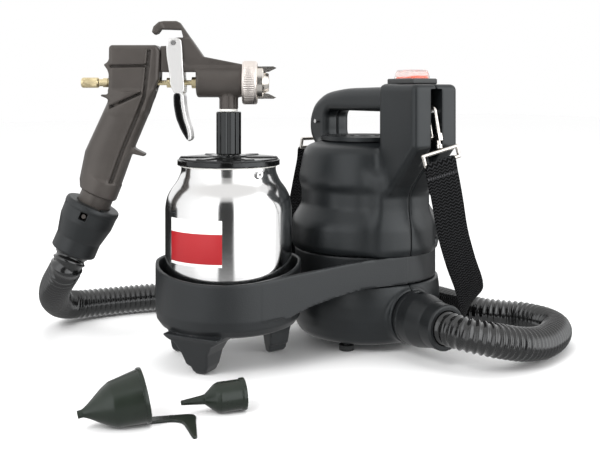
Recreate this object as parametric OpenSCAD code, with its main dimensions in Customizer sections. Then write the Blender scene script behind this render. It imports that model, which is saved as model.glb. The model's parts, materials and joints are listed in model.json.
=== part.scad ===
// Turbine paint sprayer: a blower unit, a ribbed air hose and a suction-feed spray gun.
// Millimetres. +Z is up and the floor is z = 0. The blower's outlet faces -Y and its cup holder -X.
// The origin is the middle of the footprint, without the hose and what is on it.

/* [Layout] */
// Blower axis, along X from the origin
unit_x = 103; // [60:0.5:140]
// Blower axis, along Y from the origin
unit_y = 13; // [-20:0.5:30]
// Distance from the blower's axis to the cup's axis
cup_reach = 142; // [138:1:170]
// Turn of the spray gun about the cup's axis, in degrees
gun_yaw = -31.5; // [-45:0.5:0]

/* [Blower housing] */
// Wall of the housing halves
wall = 2.5; // [2:0.1:4]
// Height of the rubber feet
foot_h = 4.5; // [3:0.5:8]
// Widest radius of the lower body
base_r = 69; // [67:0.5:72]
// Radius of the upper body just above the holder's band
upper_r = 68; // [66:0.5:71]
// Radius of the groove that the holder's band sits in
groove_r = 62; // [60.5:0.5:63]
// Lower edge of the band's groove
groove_z0 = 60; // [58:0.5:61]
// Upper edge of the band's groove
groove_z1 = 85; // [80:0.5:86]
// Radius of the waist
waist_r = 59; // [57:0.5:61]
// Height of the housing's flat top
top_z = 183; // [182:0.5:186]
// Radius of the air intake in the top
intake_r = 37; // [30:0.5:38.5]
// Outer radius of the intake cover
intake_cover_r = 41; // [39.5:0.5:41.5]

/* [Handle] */
// Width of the handle's bar
handle_w = 30; // [24:0.5:34]
// Width of the switch block at the handle's front
block_w = 47; // [44:0.5:56]
// Height of the handle's top
handle_z = 232; // [228:0.5:240]
// Underside of the bar
bar_z = 210; // [205:0.5:212]
// Front of the switch block, from the blower's axis
block_front = 103; // [99:0.5:105]
// Back of the switch block, which is the front of the hand opening
block_back = 52; // [48:0.5:53]
// Rear end of the handle
handle_rear = 77; // [72:0.5:80]
// Rear end of the hand opening
grip_rear = 46; // [40:0.5:48]
// Width of the slots that the strap hooks hang in
hook_slot_w = 12; // [10:0.5:14]
// Depth of the strap hook slots
hook_slot_d = 15; // [14:0.5:16]
// Height of the front hook's cross pin
hook_pin_z = 211; // [208:0.5:214]
// Height of the rear hook's cross pin
rear_pin_z = 211; // [209:0.5:214]
// Radius of the cross pins
hook_pin_r = 2; // [1.5:0.1:2.4]

/* [Switch] */
// Length of the switch bezel
bezel_l = 36; // [34:0.5:38]
// Width of the switch bezel
bezel_w = 27; // [25:0.5:32]
// Height of the switch bezel
bezel_h = 5; // [4:0.5:6]
// Length of the rocker
rocker_l = 25; // [22:0.5:27]
// Width of the rocker
rocker_w = 16.5; // [14:0.5:18]
// Height of the clear boot over the rocker
boot_h = 7.5; // [7:0.5:10]

/* [Motor and fan] */
// Radius of the motor shaft
shaft_r = 4; // [3:0.1:4.5]
// Outer radius of the stator
stator_r = 38; // [35:0.5:40]
// Outer radius of the rotor
armature_r = 22; // [18:0.5:24]
// Running gap between rotor and stator
air_gap = 0.4; // [0.3:0.1:0.6]
// Radius of the impeller
fan_r = 50; // [44:0.5:51]
// Lower face of the impeller
fan_z = 13; // [12:0.5:14]
// Height of the impeller
fan_h = 26; // [22:0.5:27]
// Impeller blades
fan_blades = 12; // [8:1:16]

/* [Cup holder] */
// Wall of the holder
holder_wall = 3; // [2.5:0.1:3.4]
// Outer radius of the ring round the cup
ring_r = 61.6; // [60:0.1:64]
// Air between the cup and the ring
cup_gap = 5.1; // [4:0.1:7]
// Height of the holder's floor
holder_z = 32; // [26:0.5:34]
// Height of the holder's rim
rim_z = 85.5; // [82:0.5:90]
// How far the rim dips at the front
rim_dip = 9.5; // [0:0.5:14]

/* [Air hose] */
// Outer radius of the ribbed hose
hose_r = 14; // [13:0.1:14.2]
// Radius of the hose in the valleys between its ribs
valley_r = 12.3; // [11:0.1:12.6]
// Radius of the hose's bore
hose_bore_r = 10.5; // [9:0.1:10.8]
// Ribs along the hose
hose_ribs = 168; // [100:1:180]
// Radius of the hose spigots on the blower and the gun
spigot_r = 14; // [13:0.1:14.4]
// Bore of the hose spigots
spigot_bore_r = 10.5; // [9:0.1:11]
// Height of the blower's outlet above the floor
outlet_z = 33; // [31:0.5:36]
// Angle of the mains cord's outlet round the blower, measured from the rear
gland_turn = 24; // [18:1:30]
// Outer radius of the connectors' wide end
conn_r = 23; // [22.5:0.1:24]
// Outer radius of the connectors' narrow end
conn_tail_r = 19; // [18:0.1:20]
// Length of a hose connector
conn_l = 44; // [42:0.5:48]
// Radius of the bayonet pins
bayonet_r = 1.8; // [1.4:0.1:2]
// Twist of the bayonets, in degrees
bayonet_twist = 30; // [20:1:35]

/* [Strap] */
// Width of the webbing
strap_w = 27; // [22:0.5:28]
// Thickness of the webbing
strap_t = 1.6; // [1.2:0.1:2]
// Radius of the strap's wire fittings
wire_r = 1.6; // [1.2:0.1:1.8]

/* [Cup] */
// Outer radius of the cup
cup_r = ring_r - holder_wall - cup_gap;
// Wall of the cup
cup_wall = 1.5; // [1:0.1:2]
// Height of the cup's shoulder
shoulder_z = 131; // [120:0.5:136]
// Outer radius of the cup's neck
neck_r = 40; // [36:0.5:40.5]
// Top of the cup's neck
neck_z = 164.8; // [160:0.1:166]
// Outer radius of the lid
lid_r = 43.3; // [42.5:0.1:46]
// Thickness of the lid
lid_t = 6; // [5:0.5:7]
// Radius of the suction tube
tube_r = 4; // [3:0.1:4.4]
// Wall of the suction tube
tube_wall = 1; // [0.6:0.1:1.2]
// Radius of the stem nut, to its corners
nut_r = 10.8; // [10:0.1:12]
// Length of the stem nut
nut_l = 36.5; // [34:0.1:37]

/* [Spray gun] */
// Height of the gun's axis above the floor
gun_z = 235.4; // [234:0.1:237]
// Radius of the barrel
barrel_r = 12.5; // [12.3:0.1:13.5]
// Front end of the barrel
barrel_x1 = 11.5; // [11:0.5:12]
// Rear end of the barrel
barrel_x0 = -27; // [-28:0.5:-26]
// Thickness of the bridge over the trigger
bridge_w = 16; // [12:0.5:16.6]
// Thickness of the handle
grip_w = 27; // [24:0.5:30]
// Slant of the handle from upright, in degrees
grip_tilt = 23.5; // [22:0.5:25]
// Radius of the paint needle
needle_r = 2.15; // [1.8:0.05:2.2]
// Outer radius of the cap ring
cap_ring_r = 18.5; // [18:0.1:20]
// Radius of the air cap
air_cap_r = 13.8; // [13:0.1:14]
// Radius of the trigger pin
trigger_pin_r = 2; // [1.5:0.1:2.4]
// Thickness of the trigger's cheeks
trigger_t = 1.5; // [1:0.1:2]
// Radius of the flow knob
knob_r = 4.4; // [4:0.1:6]

/* [Loose accessories] */
// Rim radius of the viscosity cup
visc_r = 19; // [17:0.1:22]
// Length of the viscosity cup
visc_l = 46.5; // [42:0.5:52]
// Rim radius of the blow nozzle
blow_r = 11.3; // [10:0.1:14]
// Length of the blow nozzle
blow_l = 46; // [42:0.5:52]

/* [Clearances] */
// Gap between pieces that slide or turn on each other
gap = 0.3; // [0.2:0.05:0.4]
// Radial clearance of a shaft or pin in its bore
running = 0.05; // [0.02:0.01:0.09]

/* [Hidden] */
$fn = 64;
far = 400;   // longer than anything that it cuts
eps = 0.05;  // overlap that makes neighbours one solid

// ---- colours ----
shell_black = [0.13, 0.135, 0.14];
gun_black = [0.16, 0.15, 0.145];
holder_grey = [0.20, 0.20, 0.205];
steel = [0.72, 0.72, 0.72];
nickel = [0.76, 0.72, 0.68];
brass = [0.80, 0.62, 0.30];
olive_black = [0.16, 0.18, 0.15];

// ---- derived sizes ----
ring_in_r = ring_r - holder_wall;
band_in_r = groove_r + gap;
band_r = band_in_r + holder_wall;
cup_z = holder_z + holder_wall + gap;
lid_z = neck_z + 1.2;
lid_top = lid_z + lid_t;
nut_z = lid_top + 2 + gap;
stem_z = nut_z + nut_l + gap;
conn_y = -(base_r + 2.5);
motor_z0 = 68;
motor_l = 50;
fan_plate_z = fan_z + fan_h + 3;
frame_z = fan_plate_z + 3;
bridge_z = 124;
bearing_h = 8;
bottom_bearing_z = frame_z + 5;
top_bearing_z = bridge_z + 8;
screw_at = [[-54, 93], [54, 93], [57, 17], [58.5, 199], [-60, 172]]; // along Y, and up
screw_r = 1.9;
screw_head_r = 3.4;
boss_r = 4.8;
grip_end = [-111.2, -94.4];   // middle of the handle's lower end, from the gun's axis
grip_dir = [-sin(grip_tilt), -cos(grip_tilt)];
conn_start = 9;               // from a spigot's root to the connector's mouth
pivot = [-45.8, 33.5];        // trigger pin, from the gun's axis
cheek_in = bridge_w / 2 + gap;

// ---- frames ----
module at_unit() translate([unit_x, unit_y, 0]) children();
module at_cup() at_unit() translate([-cup_reach, 0, 0]) children();
module at_gun() at_cup() translate([0, 0, gun_z]) rotate([0, 0, gun_yaw]) children();
module along_gun() rotate([0, 90, 0]) children();          // +Z of the child becomes the spray direction
module from_side(w) rotate([90, 0, 0]) translate([0, 0, -w / 2]) linear_extrude(w) children();
module across(w) rotate([90, 0, 90]) translate([0, 0, -w / 2]) linear_extrude(w) children();
module at_grip_end() translate([grip_end.x, 0, grip_end.y]) rotate([0, grip_tilt, 0]) mirror([0, 0, 1])
    children();                                             // +Z of the child leads out of the handle

// ---- helpers ----
module ring(r_out, r_in, h) difference() {
    cylinder(r = r_out, h = h);
    translate([0, 0, -1]) cylinder(r = r_in, h = h + 2);
}
module soft(r) offset(r = r) offset(delta = -r) children();
function unit(v) = v / norm(v);

// Points of a Catmull-Rom curve through P at place t, where whole numbers are the points themselves
function spot(P, i) = P[min(max(i, 0), len(P) - 1)];
function curve(P, t) = let (i = min(floor(t), len(P) - 2), f = t - i, a = spot(P, i - 1), b = P[i],
    c = P[i + 1], d = spot(P, i + 2))
    0.5 * ((2 * b) + (c - a) * f + (2 * a - 5 * b + 4 * c - d) * f * f + (3 * b - a - 3 * c + d) * f * f * f);
function total(v, i = 0) = i < len(v) ? v[i] + total(v, i + 1) : 0;
function lengths(P) = [for (i = 0, s = 0; i < len(P); i = i + 1,
    s = s + norm(P[min(i, len(P) - 1)] - P[i - 1])) s];
function directions(P) = [for (i = [0:len(P) - 1]) unit(spot(P, i + 1) - spot(P, i - 1))];
// Side vectors that turn as little as they can along a path
function sides_of(T, first) = [for (i = 0, n = first; i < len(T); i = i + 1,
    n = unit(n - (n * T[min(i, len(T) - 1)]) * T[min(i, len(T) - 1)])) n];
// A ring of n points round place p
function loop_points(p, side, dir, r, n) = let (up = cross(dir, side))
    [for (k = [0:n - 1]) p + r * (cos(360 * k / n) * side + sin(360 * k / n) * up)];
// Triangles between ring a and ring b of n points; flip turns them inside out
function band_faces(a, b, n, flip = false) = [for (k = [0:n - 1]) let (k2 = (k + 1) % n)
    each flip ? [[a + k, b + k2, b + k], [a + k, a + k2, b + k2]]
              : [[a + k, b + k, b + k2], [a + k, b + k2, a + k2]]];

// ---- blower housing ----
// Outer profile: radius, height, and the outward direction that the wall is measured along
body_profile = [
    [0, foot_h, 0, -1], [base_r - 19, foot_h, 0.2, -1], [base_r - 12, foot_h + 2, 0.6, -0.8],
    [base_r - 6.5, foot_h + 7, 0.9, -0.5], [base_r - 3, foot_h + 15.5, 1, 0],
    [base_r - 0.7, foot_h + 25.5, 1, 0],
    [base_r, foot_h + 37.5, 1, 0], [base_r - 0.5, groove_z0 - 8, 1, 0], [base_r - 2, groove_z0 - 1, 1, 0.8],
    [groove_r, groove_z0 - 0.3, 1, 1], [groove_r, groove_z1 + 0.3, 1, -1],
    [upper_r - 1, groove_z1 + 1, 1, -0.8],
    [upper_r, groove_z1 + 5, 1, 0], [upper_r, groove_z1 + 23, 1, 0], [upper_r - 1.7, groove_z1 + 28, 1, 0],
    [waist_r + 2.2, groove_z1 + 36, 1, 0], [waist_r, groove_z1 + 40, 1, 0], [waist_r, groove_z1 + 54, 1, 0],
    [waist_r + 2.4, groove_z1 + 60, 1, 0], [waist_r + 2.2, groove_z1 + 65, 1, 0],
    [waist_r - 2, top_z - 11, 1, 0.1],
    [waist_r - 5, top_z - 4, 0.8, 0.6], [waist_r - 11, top_z, 0.3, 1], [0, top_z, 0, 1]];
function inset(t) = [for (p = body_profile) [max(p[0] - t * p[2], 0), p[1] - t * p[3]]];

module body_solid(t) rotate_extrude() polygon(inset(t));

column_w = 60;   // front column that carries the switch block, flush with the upper body
module front_column(t) intersection() {
    translate([0, 0, groove_z1 + 2 + t]) cylinder(r = upper_r - 1.5 - t, h = 60);
    translate([-column_w / 2 + t, -upper_r, 0]) cube([column_w - 2 * t, upper_r - 25 - t, 160]);
}

module bar_outline(t) offset(delta = -t) difference() {
    soft(13) polygon([[-block_back - 22, handle_z - 1], [-40, handle_z], [handle_rear - 59, handle_z - 1],
        [handle_rear - 27, handle_z - 5], [handle_rear - 8, handle_z - 15.5], [handle_rear, handle_z - 31],
        [handle_rear - 1, 185], [54, 160], [-block_back - 22, 160]]);
    offset(r = 8) offset(delta = -8) translate([-block_back, top_z - 12])
        square([block_back + grip_rear, bar_z - top_z + 12]);
}

module block_outline(t) offset(delta = -t) soft(5) polygon([[-block_front, 181], [-block_front, handle_z + 2],
    [-block_back, handle_z + 2], [-block_back, 140], [-66, 140]]);

module handle_solid(t) {
    across(handle_w - 2 * t) bar_outline(t);
    across(block_w - 2 * t) block_outline(t);
}

module hook_slots(grow) {
    w = hook_slot_w + 2 * grow;
    translate([-w / 2, -block_front - 20, 130]) cube([w, 20 + hook_slot_d + grow, handle_z - 132 + grow]);
    translate([-w / 2, handle_rear - hook_slot_d - grow, 188 - grow])
        cube([w, 40, handle_z - 196 + 2 * grow]);
}

module screw_line(r, at, x0, x1) translate([x0, at[0], at[1]]) rotate([0, 90, 0])
    cylinder(r = r, h = x1 - x0);

// Depth of a screw head's seat, from the seam
function seat_x(at) = at[1] > 190 ? 8 : at[1] > 150 ? 16 : at[1] > 50 ? 26 : 18;

module housing_all() {
    difference() {
        union() {
            body_solid(0);
            front_column(0);
            handle_solid(0);
            // Boss round the outlet
            translate([0, -45, outlet_z]) rotate([90, 0, 0]) cylinder(r = 23.5, h = base_r - 45 + 1);
            rotate([0, 0, gland_turn]) translate([0, 45, outlet_z]) rotate([-90, 0, 0])
                cylinder(r = 9.5, h = base_r - 45 + 3);
        }
        difference() {
            union() {
                body_solid(wall);
                intersection() {
                    front_column(wall);
                    translate([-far, -far, 0]) cube([2 * far, 2 * far, 150]);
                }
            }
            // What stays solid inside the shell
            for (s = screw_at) screw_line(boss_r, s, -60, 60);
            hook_slots(wall);
            translate([0, -far, outlet_z]) rotate([-90, 0, 0])
                cylinder(r = spigot_r + 4, h = far - base_r + 9);
            rotate([0, 0, gland_turn]) translate([0, base_r - 9, outlet_z]) rotate([-90, 0, 0])
                cylinder(r = 9.5, h = far);
            ledge();
        }
        handle_void();
        hook_slots(0);
        cavities();
    }
}

// Ledge inside the wall that the fan plate lies on
module ledge() translate([0, 0, fan_plate_z - 3 - gap]) difference() {
    cylinder(r = base_r, h = 3);
    translate([0, 0, -1]) cylinder(r = fan_r + 9, h = 5);
}

// Hollow of the handle and the switch block
module handle_void() difference() {
    union() {
        intersection() { across(handle_w - 2 * wall) bar_outline(wall); above(top_z - 1); }
        intersection() { across(block_w - 2 * wall) block_outline(wall); above(150); }
    }
    for (s = screw_at) screw_line(boss_r, s, -60, 60);
    hook_slots(wall);
}
module above(z) translate([-far, -far, z]) cube([2 * far, 2 * far, far]);

module cavities() {
    translate([0, 0, top_z - 6]) cylinder(r = intake_r, h = 20);
    // Outlet, inlet and switch openings
    translate([0, 0, outlet_z]) rotate([90, 0, 0]) cylinder(r = spigot_r + running, h = far);
    rotate([0, 0, gland_turn]) translate([0, 0, outlet_z]) rotate([-90, 0, 0])
        cylinder(r = gland_r + running, h = far);
    translate([-switch_w / 2 - gap, -switch_y1 - gap, handle_z - 8])
        cube([switch_w + 2 * gap, switch_y1 - switch_y0 + 2 * gap, 20]);
    for (s = screw_at) {
        screw_line(screw_r + running, s, -22, 80);
        screw_line(screw_head_r + 0.4, s, seat_x(s), 80);
    }
    hook_pin_bores();
    for (p = foot_at) translate([p.x, p.y, foot_h - 1]) cylinder(r = foot_stud_r + running, h = wall + 2);
}

module hook_pin_bores() for (p = [[-block_front + 7, hook_pin_z], [handle_rear - 7, rear_pin_z]])
    screw_line(hook_pin_r + running, p, -hook_slot_w / 2 - 4, hook_slot_w / 2 + 4);

module half(side) intersection() {
    children();
    translate([side > 0 ? 0 : -far, -far, 0]) cube([far, 2 * far, far]);
}

module housing_left() color(shell_black) at_unit() half(-1) housing_all();
module housing_right() color(shell_black) at_unit() half(1) housing_all();

module intake_cover() color(shell_black) at_unit() {
    // Rings and spokes over the air intake, with a rim that plugs into it
    translate([0, 0, top_z + gap]) {
        ring(intake_cover_r, intake_cover_r - 4, 3.5);
        for (r = [8:8:32]) ring(r + 2, r - 1.5, 3.2);
        for (a = [0:60:300]) rotate([0, 0, a]) translate([5, -1.5, 0]) cube([intake_cover_r - 7, 3, 2.4]);
    }
    translate([0, 0, top_z - 5]) ring(intake_r - gap, intake_r - 2.3, 5 + gap + eps);
}

module air_filter() color([0.45, 0.45, 0.42]) at_unit() translate([0, 0, top_z - 12])
    cylinder(r = intake_r - 2.6, h = 11.5);

// ---- motor ----
module motor_frame() color(steel * 0.8) at_unit() difference() {
    union() {
        translate([0, 0, frame_z + gap]) cylinder(r = stator_r + 3, h = 5);
        translate([0, 0, frame_z + gap]) cylinder(r = 16, h = 5 + bearing_h);
        translate([0, 0, frame_z + gap]) ring(stator_r + 3, stator_r + running, bridge_z - frame_z - 2 * gap);
    }
    translate([0, 0, bottom_bearing_z]) cylinder(r = 13 + running, h = 40);
    translate([0, 0, frame_z - 1]) cylinder(r = 6, h = 40);
    // Air ways through the floor and the sides
    for (a = [0:60:300]) rotate([0, 0, a]) translate([26, 0, frame_z - 1]) cylinder(r = 7.5, h = 8);
    for (a = [45:90:315]) rotate([0, 0, a]) translate([stator_r - 4, -11, frame_z + 8]) cube([12, 22, 12]);
}

module bearing_bridge() color(steel * 0.8) at_unit() difference() {
    union() {
        translate([0, 0, bridge_z]) cylinder(r = 15, h = 8 + bearing_h);
        intersection() {
            translate([0, 0, bridge_z]) cylinder(r = stator_r + 3, h = 4);
            for (a = [0, 90]) rotate([0, 0, a]) translate([-far, -7, bridge_z]) cube([2 * far, 14, 4]);
        }
    }
    translate([0, 0, top_bearing_z]) cylinder(r = 11 + running, h = 40);
    translate([0, 0, bridge_z - 1]) cylinder(r = 6, h = 40);
}

module bearing(r_out, r_in) difference() {
    ring(r_out, r_in + running, bearing_h);
    for (z = [-1, bearing_h - 1]) translate([0, 0, z]) ring(r_out - 2, r_in + 2.5, 2);
}
module bearing_bottom() color(steel) at_unit() translate([0, 0, bottom_bearing_z + gap]) bearing(13, shaft_r);
module bearing_top() color(steel) at_unit() translate([0, 0, top_bearing_z + gap]) bearing(11, shaft_r);

module motor_stator() color([0.55, 0.35, 0.2]) at_unit() difference() {
    translate([0, 0, motor_z0]) ring(stator_r, armature_r + air_gap, motor_l);
    for (a = [45:90:315]) rotate([0, 0, a]) translate([armature_r + 3, -5, motor_z0 - 1])
        cube([6, 10, motor_l + 2]);
}

module motor_rotor() color([0.5, 0.4, 0.3]) at_unit() {
    translate([0, 0, fan_z + 1]) cylinder(r = shaft_r, h = top_bearing_z + bearing_h + 2 - fan_z);
    translate([0, 0, motor_z0]) cylinder(r = armature_r, h = motor_l - 8);
    translate([0, 0, motor_z0 + motor_l - 8 + 1.5]) cylinder(r = 10, h = 9);
}

module carbon_brushes() color([0.2, 0.2, 0.2]) at_unit() for (a = [0, 180]) rotate([0, 0, a + 45])
    translate([10 + gap, -3, motor_z0 + motor_l + 1]) cube([26, 6, bridge_z - motor_z0 - motor_l - 1.3]);

module impeller() color(steel) at_unit() difference() {
    translate([0, 0, fan_z]) union() {
        cylinder(r = fan_r, h = 1.6);
        translate([0, 0, fan_h - 1.6]) ring(fan_r, 18, 1.6);
        cylinder(r = 9, h = 16);
        for (k = [0:fan_blades - 1]) rotate([0, 0, 360 * k / fan_blades]) translate([20, 0, 0.8])
            rotate([0, 0, 28]) cube([fan_r - 24, 1.4, fan_h - 1.6]);
    }
    translate([0, 0, fan_z - 1]) cylinder(r = shaft_r + running, h = 40);
}

module fan_plate() color(steel * 0.9) at_unit() difference() {
    translate([0, 0, fan_plate_z]) ring(groove_r - wall - gap, 17, 3);
    // Notch for the outlet
    translate([0, conn_y + conn_start + 14.5, outlet_z]) rotate([90, 0, 0])
        cylinder(r = spigot_r + 3 + gap, h = 30);
}

// ---- outlet, inlet, feet, screws ----
gland_r = 6.5;
gland_bore_r = 3.5;
module spigot(l, back) difference() {
    union() {
        translate([0, 0, -back]) cylinder(r = spigot_r, h = l + back);
        bayonet_pins(spigot_r, conn_start + 9);
    }
    translate([0, 0, -back - 1]) cylinder(r = spigot_bore_r, h = l + back + 2);
}
// Bayonet pins that stand out of a spigot, t from its root
module bayonet_pins(r0, t) for (a = [0, 180]) rotate([0, 0, a - 90]) translate([r0 - 1, 0, t])
    rotate([0, 90, 0]) cylinder(r = bayonet_r, h = conn_r - 1.5 - r0);

module at_outlet() at_unit() translate([0, conn_y + conn_start, outlet_z]) rotate([90, 0, 0]) children();

module outlet_port() color(shell_black) at_outlet() {
    spigot(31, 8);
    translate([0, 0, -8 - 4]) ring(spigot_r + 3, spigot_bore_r, 4);
}

module cable_gland() color(shell_black) at_unit() rotate([0, 0, gland_turn])
    translate([0, base_r - 14, outlet_z]) rotate([-90, 0, 0]) difference() {
        union() {
            cylinder(r = gland_r, h = 26);
            translate([0, 0, 17 + gap]) cylinder(r = 9, h = 3);
        }
        translate([0, 0, -1]) cylinder(r = gland_bore_r, h = 40);
    }

foot_stud_r = 2.5;
foot_at = [for (a = [35:90:305]) 49 * [cos(a), sin(a)]];
module rubber_feet() color([0.1, 0.1, 0.1]) at_unit() for (p = foot_at) translate(p) {
    cylinder(r = 6.5, h = foot_h - running);
    cylinder(r = foot_stud_r, h = foot_h + wall - gap);
}

module housing_screws() color(steel) at_unit() for (s = screw_at) difference() {
    union() {
        screw_line(screw_r, s, -18, seat_x(s) + 1);
        screw_line(screw_head_r, s, seat_x(s) + running, seat_x(s) + 2.8);
    }
    for (a = [0, 90]) translate([seat_x(s) + 1.6, s[0], s[1]]) rotate([a, 0, 0])
        translate([0, -2.4, -0.4]) cube([3, 4.8, 0.8]);
}

module hook_pins() color(steel) at_unit()
    for (p = [[-block_front + 7, hook_pin_z], [handle_rear - 7, rear_pin_z]])
        screw_line(hook_pin_r, p, -hook_slot_w / 2 - 3.5, hook_slot_w / 2 + 3.5);

// ---- switch ----
switch_w = 22;
switch_y0 = block_back + 4;
switch_y1 = block_back + 32;
bezel_z = handle_z + 2;
bezel_y = -(switch_y0 + switch_y1) / 2;
rocker_pivot_z = bezel_z + 2;

module switch_bezel() color(shell_black) at_unit() translate([0, bezel_y, bezel_z + running]) difference() {
    translate([-bezel_w / 2, -bezel_l / 2, 0]) cube([bezel_w, bezel_l, bezel_h]);
    translate([-rocker_w / 2 - 0.5, -rocker_l / 2 - 0.5, -1]) cube([rocker_w + 1, rocker_l + 1, bezel_h + 2]);
}

module switch_body() color([0.12, 0.12, 0.12]) at_unit()
    translate([-switch_w / 2 + 0.2, -switch_y1 + 0.2, handle_z - 22]) {
        difference() {
            cube([switch_w - 0.4, switch_y1 - switch_y0 - 0.4, 22.5]);
            translate([2, 2, 18]) cube([switch_w - 4.4, switch_y1 - switch_y0 - 4.4, 10]);
        }
        for (y = [5, 13, 21]) translate([7, y, -7]) cube([7, 1, 8]);
    }

// The rocker's top is two faces that meet at a shallow angle over its pivot
module switch_rocker() color([0.9, 0.25, 0.1]) at_unit() translate([0, bezel_y, rocker_pivot_z])
    across(rocker_w) polygon([[-rocker_l / 2 + 1, 0], [-rocker_l / 2, 3.4], [-rocker_l / 2 + 1, 5.6],
        [0, 4.2], [rocker_l / 2 - 1, 4.6], [rocker_l / 2, 2.2], [rocker_l / 2 - 1, 0], [3, -1], [-3, -1]]);

module switch_boot() color([1, 0.75, 0.7, 0.4]) at_unit()
    translate([0, bezel_y, bezel_z + bezel_h + 2 * running]) difference() {
        box_taper(rocker_w + 3.2, rocker_l + 3.2, boot_h, 0.8);
        translate([0, 0, -1]) box_taper(rocker_w + 1.8, rocker_l + 1.8, boot_h + 0.3, 0.8);
    }
module box_taper(w, l, h, in) hull() {
    translate([-w / 2, -l / 2, 0]) cube([w, l, 0.5]);
    translate([-w / 2 + in, -l / 2 + in, h - 0.5]) cube([w - 2 * in, l - 2 * in, 0.5]);
}

// ---- cup holder ----
// Straight walls that run from the ring to the band, t0 to t1 in from the line that touches both
module straight_walls(t0, t1) {
    a = acos((band_r - ring_r) / cup_reach);
    for (s = [1, -1]) polygon([for (e = [[0, band_r], [-cup_reach, ring_r]])
        each [for (t = e[0] == 0 ? [t0, t1] : [t1, t0])
        [e[0] - (e[1] - t) * cos(a), s * (e[1] - t) * sin(a)]]]);
}
// What lies between those two lines
module between_walls(t) {
    a = acos((band_r - ring_r) / cup_reach);
    polygon([for (s = [1, -1])
        each [for (e = s > 0 ? [[0, band_r], [-cup_reach, ring_r]] : [[-cup_reach, ring_r], [0, band_r]])
        [e[0] - (e[1] - t) * cos(a), s * (e[1] - t) * sin(a)]]]);
}

// Side view of the walls: their lower edge rises from the ring to the blower
module wall_side() polygon([[-300, holder_z + 14], [-118, holder_z + 14], [-100, holder_z + 20],
    [-75, holder_z + 25], [-48, groove_z0 + 2 * gap], [90, groove_z0 + 2 * gap], [90, groove_z1 - 2 * gap],
    [-58, groove_z1 - 2 * gap], [-70, rim_z + 5], [-300, rim_z + 5]]);

// Outline of a leg as seen from outside, and its side view with the leaning outer face
module leg_front(w) polygon([[-26 * w, holder_z + 2], [-24 * w, holder_z - 2], [-17 * w, holder_z - 6],
    [-13 * w, holder_z - 14], [-11 * w, 8], [-9 * w, 6.6], [-7 * w, 6], [-6 * w, 2.4], [-4 * w, 0.4],
    [-3 * w, 0],
    [3 * w, 0], [6 * w, 1.6], [9 * w, 7], [12 * w, holder_z - 14], [17 * w, holder_z - 6],
    [24 * w, holder_z - 2], [26 * w, holder_z + 2]]);
module leg_side(r) polygon([[r - 13, 0], [r + 2, 0], [r + 4, 3], [ring_r - 4, holder_z - 2],
    [ring_r - 0.9, holder_z + 2], [r - 15, holder_z + 2]]);

leg_angles = [-148.5, 120, 1];
leg_at = [42, 53, 51];            // where each leg stands, from the cup's axis
leg_wide = [1, 0.6, 0.6];         // how wide each leg is beside the front one

module holder_ring() rotate_extrude() polygon([[28, holder_z], [ring_r - 10.6, holder_z],
    [ring_r - 4.6, holder_z + 2.6], [ring_r - 1.1, holder_z + 7.5], [ring_r, holder_z + 14.5], [ring_r, rim_z],
    [ring_in_r, rim_z], [ring_in_r, holder_z + 14], [ring_r - 6.6, holder_z + 7.5],
    [ring_r - 10.6, holder_z + holder_wall], [28, holder_z + holder_wall]]);

module cup_holder() color(holder_grey) at_unit() difference() {
    union() {
        intersection() {
            linear_extrude(rim_z - 0.1) straight_walls(0.4, 2.6);
            from_side(300) wall_side();
        }
        translate([0, 0, groove_z0 + gap]) ring(band_r, band_in_r, groove_z1 - groove_z0 - 2 * gap);
        // Floor between the ring and the band
        translate([0, 0, groove_z0 + gap + 0.2]) linear_extrude(2.5) difference() {
            between_walls(1.5);
            circle(r = band_in_r + 1);
            translate([-cup_reach, 0]) circle(r = ring_in_r + 1);
        }
        translate([-cup_reach, 0, 0]) {
            holder_ring();
            for (i = [0:2]) rotate([0, 0, leg_angles[i]]) intersection() {
                from_side(80) leg_side(leg_at[i]);
                translate([ring_r - 20, 0, 0]) across(80) leg_front(leg_wide[i]);
            }
        }
    }
    // Dip of the rim towards the front
    translate([-cup_reach, 0, rim_z]) rotate([0, 0, gun_yaw]) rotate([dip_angle, 0, 0])
        translate([-far, -far, 0]) cube([2 * far, far, far]);
}
dip_angle = atan(rim_dip / ring_r);

// ---- strap ----
// Middle of the webbing, and the direction of its width, from the blower's axis
strap_route = [
    [[0, -107.6, 166.8], [0.93, -0.3, 0.19]], [[4, -106, 157], [0.9, -0.4, 0.17]],
    [[15, -99, 135], [0.86, -0.48, 0.15]], [[28, -91, 106], [0.86, -0.46, 0.17]],
    [[45, -82, 78], [0.85, -0.45, 0.2]], [[63, -73, 53], [0.8, -0.42, 0.35]],
    [[77, -60, 34], [0.62, -0.25, 0.74]],
    [[88, -38, 20], [0.15, -0.05, 0.99]], [[93, -10, 15.5], [0, 0, 1]], [[92, 20, 15.5], [0, 0, 1]],
    [[82, 50, 15.5], [0, 0, 1]], [[64, 76, 15.5], [0.03, 0.02, 1]], [[42, 94, 16.5], [0.2, 0.1, 0.97]],
    [[20, 105, 22], [0.6, 0.1, 0.8]], [[4, 112, 38], [0.93, 0.05, 0.35]], [[-4, 115, 62], [1, 0, 0.05]],
    [[-5, 113, 95], [1, 0, 0]], [[-3, 106, 128], [1, 0, 0]], [[-1, 99, 156], [1, 0, 0]],
    [[0, 96.5, 166], [1, 0, 0]]];
strap_points = [for (p = strap_route) p[0]];
strap_sides = [for (p = strap_route) unit(p[1])];
strap_steps = 3;   // rings to each stretch of the route

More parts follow.
